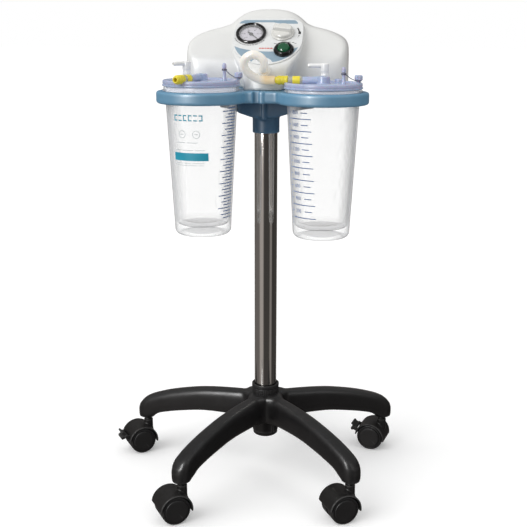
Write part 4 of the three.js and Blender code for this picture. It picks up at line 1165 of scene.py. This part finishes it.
DOME_TOP = PUMP_TOP + 3.5
right_half = bezier((PUMP_HALF, 756), ((PUMP_HALF, 781), (130, 788.5), (105, 797)),
                    ((88, 802), (74, 803.5), (64, 810)), ((48, 826), (30, DOME_TOP), (0, DOME_TOP)))
left_half = [np.array((-x, z)) for x, z in reversed(right_half[:-1])]
front_field = outline_field([(-PUMP_HALF, 680), (PUMP_HALF, 680), *right_half, *left_half])
back_line = bezier((PUMP_BACK, 770), ((PUMP_BACK, 806), (116, DOME_TOP), (92, DOME_TOP)),
                   ((80, DOME_TOP), (72, 825), (62, 814)))
front_line = bezier((20, 757), ((13.3, 747), (PUMP_FRONT, 736.7), (PUMP_FRONT, 726)))
side_field = outline_field([(PUMP_FRONT, 680), (PUMP_BACK, 680), *back_line, *front_line])
plan_field = outline_field(rounded_box(-PUMP_HALF, PUMP_HALF, PUMP_FRONT, PUMP_BACK, 34, 12))


def rim_point(angle, inset=0.0):
    """The panel's outline: round below and broad-shouldered above, shrunk by the inset."""
    c, s = math.cos(angle), math.sin(angle)
    power = 5 if s > 0 else 2
    width, height = BEZEL_R - inset, (BEZEL_HIGH if s > 0 else BEZEL_R) - inset
    r = (abs(c / width) ** power + abs(s / height) ** power) ** (-1 / power)
    return r * c, r * s


def console_shape():
    """A tulip that opens from its foot between the lids into the rim of the panel."""
    sides, rows = 72, 14
    foot = PUMP_LOW - 8
    points = []
    for i in range(rows + 1):
        t = i / rows
        for j in range(sides):
            angle = 2 * math.pi * j / sides
            c, s = math.cos(angle), math.sin(angle)
            square = max(abs(c), abs(s)) ** 0.55
            low = (36 * c / square, 4 + (4 - NOSE_FRONT) * s / square, foot)
            high = PANEL @ Vector((*rim_point(angle, -BOSS_MARGIN), 1.5))
            points.append((low[0] + (high.x - low[0]) * t**1.7, low[1] + (high.y - low[1]) * t**1.6,
                           low[2] + (high.z - low[2]) * t))
    faces = []
    for i in range(rows):
        for j in range(sides):
            k = (j + 1) % sides
            faces.append((i * sides + j, i * sides + k, (i + 1) * sides + k, (i + 1) * sides + j))
    faces += [tuple(reversed(range(sides))), tuple(range(rows * sides, (rows + 1) * sides))]
    return np.array(points), faces


console_field = solid_field(console_shape(), 3.0, 30)
rim_field = outline_field([rim_point(2 * math.pi * i / 90) for i in range(90)])
OUT_OF_PANEL = np.array(PANEL.inverted())


def panel_frame(x, y, z):
    m = OUT_OF_PANEL
    return [m[i, 0] * x + m[i, 1] * y + m[i, 2] * z + m[i, 3] for i in range(3)]


def casing_field(x, y, z):
    body = smooth_max(front_field(x - CASING_SHIFT, z), side_field(y, z), 14)
    body = smooth_max(body, plan_field(x - CASING_SHIFT, y), 7)
    u, v, w = panel_frame(x, y, z)
    rim = rim_field(u, v)
    shape = smooth_min(body, smooth_max(console_field(x, y, z), w - BOSS_PROUD, 9), 9)
    above = smooth_max(rim - BOSS_MARGIN, BOSS_PROUD - w, 1.0)
    shape = smooth_max(shape, -above, 3)
    seat = np.maximum(rim + FILM_INSET - 1.0, -w - 2.6)
    shape = np.maximum(shape, -seat)
    bottom = PUMP_LOW + 0.5 - z
    shell = smooth_max(shape, bottom, 1.2)
    hollow = smooth_max(shape + SHELL_THICK, w + 8, 2)
    shell = np.maximum(shell, -hollow)
    inlet = box_field(x, y, z, (INLET_X, PUMP_BACK, INLET_Z), (14.3, 10, 10.3), 1)
    nozzle = disc_field(x - NOZZLE_X, z - NOZZLE_Z, y, 4.4, NOSE_FRONT - 6, NOSE_FRONT + 14, 0.5)
    return np.maximum(np.maximum(shell, -inlet), -nozzle)


piece("casing_shell", surface(casing_field, (-148, -48, 700), (140, 124, 838), SHELL_PITCH), "trolley",
      CASING, replaces=["casing_cover"], crease=50)


floor_plan = [(-137, 15, 30), (-30, 15, 3), (-30, -40, 10), (30, -40, 10), (30, 15, 3), (137, 15, 30),
              (137, 117, 30), (-137, 117, 30)]
floor_plate = prism(soften(floor_plan, 2, 8, True), PUMP_LOW, PUMP_LOW + BASE_PLATE, 0.8)
piece("casing_floor", move(floor_plate, at(CASING_SHIFT, 0)), "trolley", CASING,
      replaces=["casing_base"])

# ------------------------------------------------------------------ control panel, in its own frame

GAUGE_X, GAUGE_Y = -29.5, 17
KNOB_X, KNOB_Y = 25, 19
SWITCH_X, SWITCH_Y = 30.5, -25
GAUGE, KNOB, SWITCH = (PANEL @ at(x, y) for x, y in ((GAUGE_X, GAUGE_Y), (KNOB_X, KNOB_Y),
                                                     (SWITCH_X, SWITCH_Y)))


def film_shape():
    """The panel's film, with a hole for the gauge's can."""
    sides = 144
    outer = [rim_point(2 * math.pi * i / sides, FILM_INSET - 2.6) for i in range(sides)]
    inner = []
    for x, y in outer:
        dx, dy = x - GAUGE_X, y - GAUGE_Y
        r = 20.2 / math.hypot(dx, dy)
        inner.append((GAUGE_X + dx * r, GAUGE_Y + dy * r))
    loops = [(outer, 0.0), (inner, 0.0), (inner, -2.2), (outer, -2.2)]
    points = [(x, y, z) for loop, z in loops for x, y in loop]
    faces = []
    for r in range(4):
        q = (r + 1) % 4
        for i in range(sides):
            k = (i + 1) % sides
            faces.append((r * sides + i, r * sides + k, q * sides + k, q * sides + i))
    return np.array(points), faces


piece("panel_film", film_shape(), "trolley", PANEL_FILM, PANEL, ["control_panel"])


def arc_points(radius, start, end, centre=(0, 0), steps=24):
    angles = [math.radians(start + (end - start) * i / steps) for i in range(steps + 1)]
    return [(centre[0] + radius * math.cos(a), centre[1] + radius * math.sin(a)) for a in angles]


def print_on_panel(outline, height=0.14):
    return prism(outline, 0.02, height, 0.03)


def dash(centre, radius, start, end, width):
    """A short curved mark."""
    outer = arc_points(radius + width / 2, start, end, centre, 5)
    inner = arc_points(radius - width / 2, end, start, centre, 5)
    return print_on_panel([*outer, *inner])


band = [(-53, 44.4), (-33, 44.2), (-25, 47.6), (6, 47.6), (19, 44), (49, 43.8), (48, 48), (43.5, 53.4),
        (-44.5, 53.4), (-50.5, 49.5)]
top_edge = smooth_path([(-55.6, -14.5, 0), (-44, -20.2, 0), (-32, -23.6, 0), (-11, -27.3, 0), (10, -28, 0),
                        (30, -26.2, 0), (54.6, -16.6, 0)], 3)[:, :2]
right_rim = arc_points(56.6, -18, -70, steps=20)
arch = arc_points(19.5, 24, 156, (-4, -62), 16)
left_rim = arc_points(56.4, -114, -163.5, steps=20)
crescent = [*top_edge, *right_rim, *arch, *left_rim]
piece("panel_print_blue", join(print_on_panel(soften(band, 0.5, 2, True)), print_on_panel(crescent)),
      "trolley",
      INK_BAND, PANEL)
red_dashes = [print_on_panel(rounded_box(x, x + w, -21.2, -18.8, 0.4, 2))
              for x, w in ((-12, 3.2), (-8, 4.6), (-2.6, 2.6), (0.8, 5.2), (6.8, 4.4))]
piece("panel_print_red", join(*red_dashes), "trolley", INK_RED, PANEL)

wedge = [*arc_points(26.8, 30, -4, (KNOB_X, KNOB_Y), 12), *arc_points(31, -5, 6, (KNOB_X, KNOB_Y), 6),
         *arc_points(29.0, 12, 29, (KNOB_X, KNOB_Y), 8)]
dots = [print_on_panel(arc_points(r, 0, 350, (KNOB_X + 28.8 * math.cos(a), KNOB_Y + 28.8 * math.sin(a)), 12))
        for a, r in ((math.radians(-13), 1.1), (math.radians(-19), 0.6), (math.radians(-24), 0.5))]
words_around = [dash((GAUGE_X, GAUGE_Y), 29.2, a, a + w, 1.0)
                for a, w in ((203, 6), (211, 9), (222, 5), (229, 12), (243, 7), (252, 5), (259, 10),
                             (271, 6), (279, 8),
                             (289, 12), (303, 5), (310, 9), (321, 6))]
small = [print_on_panel(rounded_box(x, x + w, y, y + 1.1, 0.3, 2))
         for x, w, y in ((36, 5, -4.6), (42.5, 4, -5.4), (12, 5, -8.5), (47, 3.4, -7.4))]
piece("panel_print_black", join(print_on_panel(wedge), *dots, *words_around, *small), "trolley",
      INK_BLACK, PANEL)

# The gauge: a ring with a stepped inside, a dial card and a domed glass
gauge_can = [(0, -18), (19.5, -18), (19.5, -4), (19.5, 0.1), (25.4, 0.1), (26, 0.8, 0.5), (26, 3.2, 1.2),
             (24.6, 4.5, 1.3), (22.6, 4.5, 0.8), (21.6, 3.0, 0.6), (20.6, 2.4, 0.4), (19.2, -1.5), (1, -1.5),
             (1, 1.1),
             (0, 1.1)]
piece("gauge_ring", lathe(soften(gauge_can, 0.3, 4), 96), "trolley", BLACK_GLOSS, GAUGE,
      ["gauge_case"])
piece("gauge_card", lathe([(1.1, -1.48), (19.15, -1.48), (19.15, -1.3), (1.1, -1.3)], 72, True), "trolley",
      DIAL, GAUGE)
GAUGE_SWEEP, GAUGE_START, GAUGE_FULL = 268, -44, 100


def dial_marks():
    marks = []
    for k in range(51):
        degrees = GAUGE_START + GAUGE_SWEEP * k / 50
        long = k % 10 == 0
        half = 0.3 if long else 0.14
        low = 14.6 if long else 16.4 if k % 5 == 0 else 17.0
        marks.append(move(prism([(low, -half), (18.6, -half), (18.6, half), (low, half)], -1.32, -1.2, 0.02),
                          spin(degrees)))
        if long:
            words = move(text_shape(str(GAUGE_FULL * k // 50), 4.0, 0.1),
                         at(11.6 * math.cos(math.radians(degrees)), 11.6 * math.sin(math.radians(degrees)),
                            -1.25))
            marks.append(words)
    marks.append(move(dash((0, 0), 17.9, GAUGE_START, GAUGE_START + 60, 0.25), at(0, 0, -1.34)))
    return join(*marks)


piece("gauge_marks", dial_marks(), "trolley", INK_BLACK, GAUGE)
lens = soften([(0, 1.9), (21.4, 1.9), (22.2, 2.3), (21.4, 2.7), (12, 3.0, 20), (0, 3.1)], 0.2, 3)
piece("gauge_window", lathe(lens, 72), "trolley", GLASS, GAUGE, ["gauge_lens"])

NEEDLE_REST = -134
tail = soften([(-1.5, -8.4), (1.5, -8.4), (1.2, 0), (0.9, 4), (0.22, 17.2), (-0.22, 17.2), (-0.9, 4),
               (-1.2, 0)], 0.3,
              2, True)
hub = lathe(soften([(1.4, -1.0), (3.3, -1.0), (3.3, 0.6), (1.4, 0.6)], 0.25, 3, True), 40, True)
piece("pointer", join(prism(tail, -0.6, 0.2, 0.1), hub), "gauge_needle", NEEDLE,
      GAUGE @ spin(NEEDLE_REST), ["gauge_needle"])

# The regulator's knob: a skirt, a tapered body and a finger grip across it
KNOB_TURN = -14
knob_body = [(4, 0.4), (19.6, 0.4), (20, 0.9), (20, 2.3), (19.2, 3.0), (18.2, 3.4), (17.4, 7.0),
             (15.8, 8.6, 1.4),
             (5, 9.0, 3), (0, 9.0), (0, 7.4), (4, 7.4)]


def knob_grip_field(x, y, z):
    ridge = box_field(x, y, z, (0.6, 0, 7.6), (16.2, 6.6, 7.2), 2.2)
    flare = np.abs(y) - 3.6 + x * 0.07 - np.maximum(0, 14.8 - z) * 0.36
    grip = smooth_max(ridge, flare, 1.2)
    return smooth_max(grip, 4 - z, 0.5)


knob_grip = surface(knob_grip_field, (-17, -9, 3), (18, 9, 16), 0.8)
piece("knob", join(lathe(soften(knob_body, 0.5, 4), 96), knob_grip), "regulator_knob",
      KNOB_WHITE,
      KNOB @ spin(KNOB_TURN), ["regulator_knob"])

switch_ring = [(11.2, -14), (13, -14), (13, 0.1), (16.8, 0.1), (17.2, 0.5), (17.2, 3.0, 1), (14.6, 6.8, 1.4),
               (12.2, 7.0, 0.8), (11.2, 6.2)]
piece("switch_collar", lathe(soften(switch_ring, 0.4, 4, True), 80, True), "trolley",
      BLACK_GLOSS, SWITCH, ["switch_bezel"])
ROCKER_TILT = 8
button = [(0, -4), (10.6, -4), (10.6, 6.2, 2), (8.8, 10.4, 4), (0, 11.6, 6)]
piece("switch_button", lathe(soften(button, 1.2, 6), 72), "switch", GREEN,
      SWITCH @ spin(ROCKER_TILT, "X"), ["switch_rocker"])

# ------------------------------------------------------------------ nozzle, inlet and back

spout = [(2.4, -12), (4.2, -12), (4.2, 0.2), (9.6, 0.2), (10, 0.6), (10, 2.6), (8.6, 3.4), (5.4, 3.8),
         (5.0, 4.6),
         (4.3, 5.2), (4.2, 8), (4.6, 8.4), (3.9, 12), (2.4, 12)]
piece("hose_spigot", lathe(soften(spout, 0.4, 3, True), 48, True), "trolley", WHITE,
      at(NOZZLE_X, NOSE_FRONT, NOZZLE_Z) @ spin(90, "X"), ["hose_nozzle"])

INLET = at(INLET_X, PUMP_BACK, INLET_Z)


def inlet_field(x, y, z):
    body = box_field(x, y, z, (0, -7, 0), (14, 7, 10), 1)
    flange = box_field(x, y, z, (0, 1.4, 0), (17, 1.1, 13), 1)
    recess = box_field(x, y, z, (0, 0, 0), (11.5, 11, 7.5), 2)
    return np.maximum(smooth_min(body, flange, 0.5), -recess)


pins = [prism(rounded_box(x - 1.1, x + 1.1, z - 2.4, z + 2.4, 0.5, 2), -3, 11, 0.5)
        for x, z in ((-6.2, -1.4), (0, 1.6), (6.2, -1.4))]
piece("mains_socket", surface(inlet_field, (-18, -15, -14), (18, 3, 14), 1.0), "trolley",
      BLACK_GLOSS, INLET, ["power_inlet"], 45)
piece("mains_pins", join(*[move(pin, spin(90, "X")) for pin in pins]), "trolley", STEEL, INLET)


def back_plate():
    """Louvres for cooling air on the casing's back, where its screws also stand."""
    bars = [move(prism(rounded_box(-24, 24, -1.3, 1.3, 1.2, 4), -1, 0.9, 0.6),
                 at(-66, 0, 722 + 7 * k) @ spin(-90, "X"))
            for k in range(7)]
    return move(join(*bars), at(0, PUMP_BACK - 0.1))


piece("back_louvres", back_plate(), "trolley", CASING)
screw_head = [(0, -1), (3.4, -1), (3.6, 0.3), (3.0, 1.1), (1.3, 1.3), (1.2, 0.4), (0, 0.4)]
screws = [move(lathe(soften(screw_head, 0.3, 3), 32), at(x, PUMP_BACK - 0.2, z) @ spin(-90, "X"))
          for x, z in ((-104, 716), (104, 716), (-96, 770), (96, 770))]
piece("back_screws", join(*screws), "trolley", STEEL)

INSIDES = {"regulator_valve": ALUMINIUM, "pump_motor": ALUMINIUM, "crank_disc": STEEL,
           "piston_rod": ALUMINIUM,
           "pump_cylinder": ALUMINIUM}
for node, look in INSIDES.items():
    for place in frame["nodes"][node].material_slots:
        place.material = look

# ------------------------------------------------------------------ floor and light

floor_mesh = bpy.data.meshes.new("floor")
reach = 30.0
floor_mesh.from_pydata([(-reach, -reach, 0), (reach, -reach, 0), (reach, reach, 0), (-reach, reach, 0)], [],
                       [(0, 1, 2, 3)])
floor = bpy.data.objects.new("floor", floor_mesh)
bpy.context.scene.collection.objects.link(floor)
pale = Nodes("pale_floor")
pale.link(pale.ramp(pale.noise(3, 3), 0, (0.955, 0.955, 0.955), (0.97, 0.97, 0.968)), 0, pale.shader,
          "Base Color")
pale.set(Specular_IOR_Level=0.0, Roughness=0.9, Emission_Color=(1, 1, 1, 1), Emission_Strength=0.15)
# The camera sees a bright floor, but the object is lit by a dimmer one.
dim = pale.add("ShaderNodeBsdfDiffuse")
seen = pale.add("ShaderNodeLightPath")
either = pale.add("ShaderNodeMixShader")
dim.inputs["Color"].default_value = (0.42, 0.42, 0.42, 1)
pale.link(seen, "Is Camera Ray", either, 0)
pale.link(dim, 0, either, 1)
pale.link(pale.shader, 0, either, 2)
pale.link(either, 0, pale.output, 0)
floor_mesh.materials.append(pale.material)
floor.visible_glossy = False

scene = bpy.context.scene
scene.view_settings.view_transform = "Standard"
scene.view_settings.look = "None"


def studio():
    """A white room for the eye and soft light. Glossy surfaces see a darker one with strip lights in it."""
    room = bpy.data.worlds.new("studio")
    scene.world = room
    room.use_nodes = True
    tree = room.node_tree
    tree.nodes.clear()
    add, link = tree.nodes.new, tree.links.new
    output, path, mix = add("ShaderNodeOutputWorld"), add("ShaderNodeLightPath"), add("ShaderNodeMixShader")
    second, white, soft, strips = (add("ShaderNodeMixShader"), add("ShaderNodeBackground"),
                                   add("ShaderNodeBackground"), add("ShaderNodeBackground"))
    white.inputs["Color"].default_value = (1, 1, 1, 1)
    place, split = add("ShaderNodeTexCoord"), add("ShaderNodeSeparateXYZ")
    link(place.outputs["Generated"], split.inputs[0])
    around = add("ShaderNodeMath")
    around.operation = "ARCTAN2"
    link(split.outputs["X"], around.inputs[0])
    link(split.outputs["Y"], around.inputs[1])
    share = add("ShaderNodeMapRange")
    share.inputs["From Min"].default_value = -math.pi
    share.inputs["From Max"].default_value = math.pi
    link(around.outputs[0], share.inputs[0])
    above = add("ShaderNodeMapRange")
    above.interpolation_type = "SMOOTHSTEP"
    above.inputs["From Min"].default_value = 0.25
    above.inputs["From Max"].default_value = 0.75
    link(split.outputs["Z"], above.inputs[0])

    def walls(background, stops, ceiling, tint):
        """Lights a background by levels at shares of a turn: front (-Y), left, back, right, front again."""
        ramp, blend = add("ShaderNodeValToRGB"), add("ShaderNodeMix")
        elements = ramp.color_ramp.elements
        while len(elements) > 1:
            elements.remove(elements[-1])
        for i, (position, level) in enumerate(stops):
            stop = elements[0] if i == 0 else elements.new(position)
            stop.position = position
            stop.color = (*(level * c for c in tint), 1)
        blend.data_type = "RGBA"
        link(share.outputs[0], ramp.inputs["Fac"])
        link(above.outputs[0], blend.inputs[0])
        link(ramp.outputs[0], blend.inputs[6])
        blend.inputs[7].default_value = (ceiling, ceiling, ceiling, 1)
        link(blend.outputs[2], background.inputs["Color"])

    walls(strips, [(0.0, 0.06), (0.03, 0.065), (0.06, 0.42), (0.14, 0.42), (0.175, 0.17), (0.40, 0.15),
                   (0.48, 0.22),
                   (0.55, 0.2), (0.60, 0.055), (0.785, 0.05), (0.81, 0.26), (0.85, 0.26), (0.875, 0.06),
                   (1.0, 0.06)],
          0.42, (1.06, 0.98, 0.94))
    walls(soft, [(0.0, 0.66), (0.08, 0.80), (0.20, 0.92), (0.32, 0.85), (0.45, 0.60), (0.60, 0.58),
                 (0.72, 0.56),
                 (0.85, 0.58), (0.94, 0.62), (1.0, 0.66)], 0.68, (1.0, 0.995, 0.985))
    link(path.outputs["Is Glossy Ray"], second.inputs[0])
    link(soft.outputs[0], second.inputs[1])
    link(strips.outputs[0], second.inputs[2])
    link(path.outputs["Is Camera Ray"], mix.inputs[0])
    link(second.outputs[0], mix.inputs[1])
    link(white.outputs[0], mix.inputs[2])
    link(mix.outputs[0], output.inputs[0])


def lamp(name, kind, energy, place, look_at, size, glossy=True, diffuse=True):
    data = bpy.data.lights.new(name, kind)
    data.energy = energy
    if kind == "SUN":
        data.angle = size
    else:
        data.shape = "RECTANGLE"
        data.size, data.size_y = size
    made = bpy.data.objects.new(name, data)
    scene.collection.objects.link(made)
    made.location = place
    made.rotation_euler = (Vector(look_at) - Vector(place)).to_track_quat("-Z", "Y").to_euler()
    made.visible_glossy = glossy
    made.visible_diffuse = diffuse
    return made


studio()
# The key lights colour only. The left lamp lights gloss only, for the highlight along the rings.
lamp("key", "SUN", 1.55, (-2.4, -1.6, 2.8), (0, 0, 0.4), math.radians(60), False)
lamp("shine_left", "AREA", 85, (-1.1, -2.0, 1.5), (0, 0, 0.6), (0.5, 1.6), diffuse=False)
lamp("shine_right", "AREA", 5, (1.9, -1.1, 1.7), (0, 0, 0.6), (0.35, 1.4))
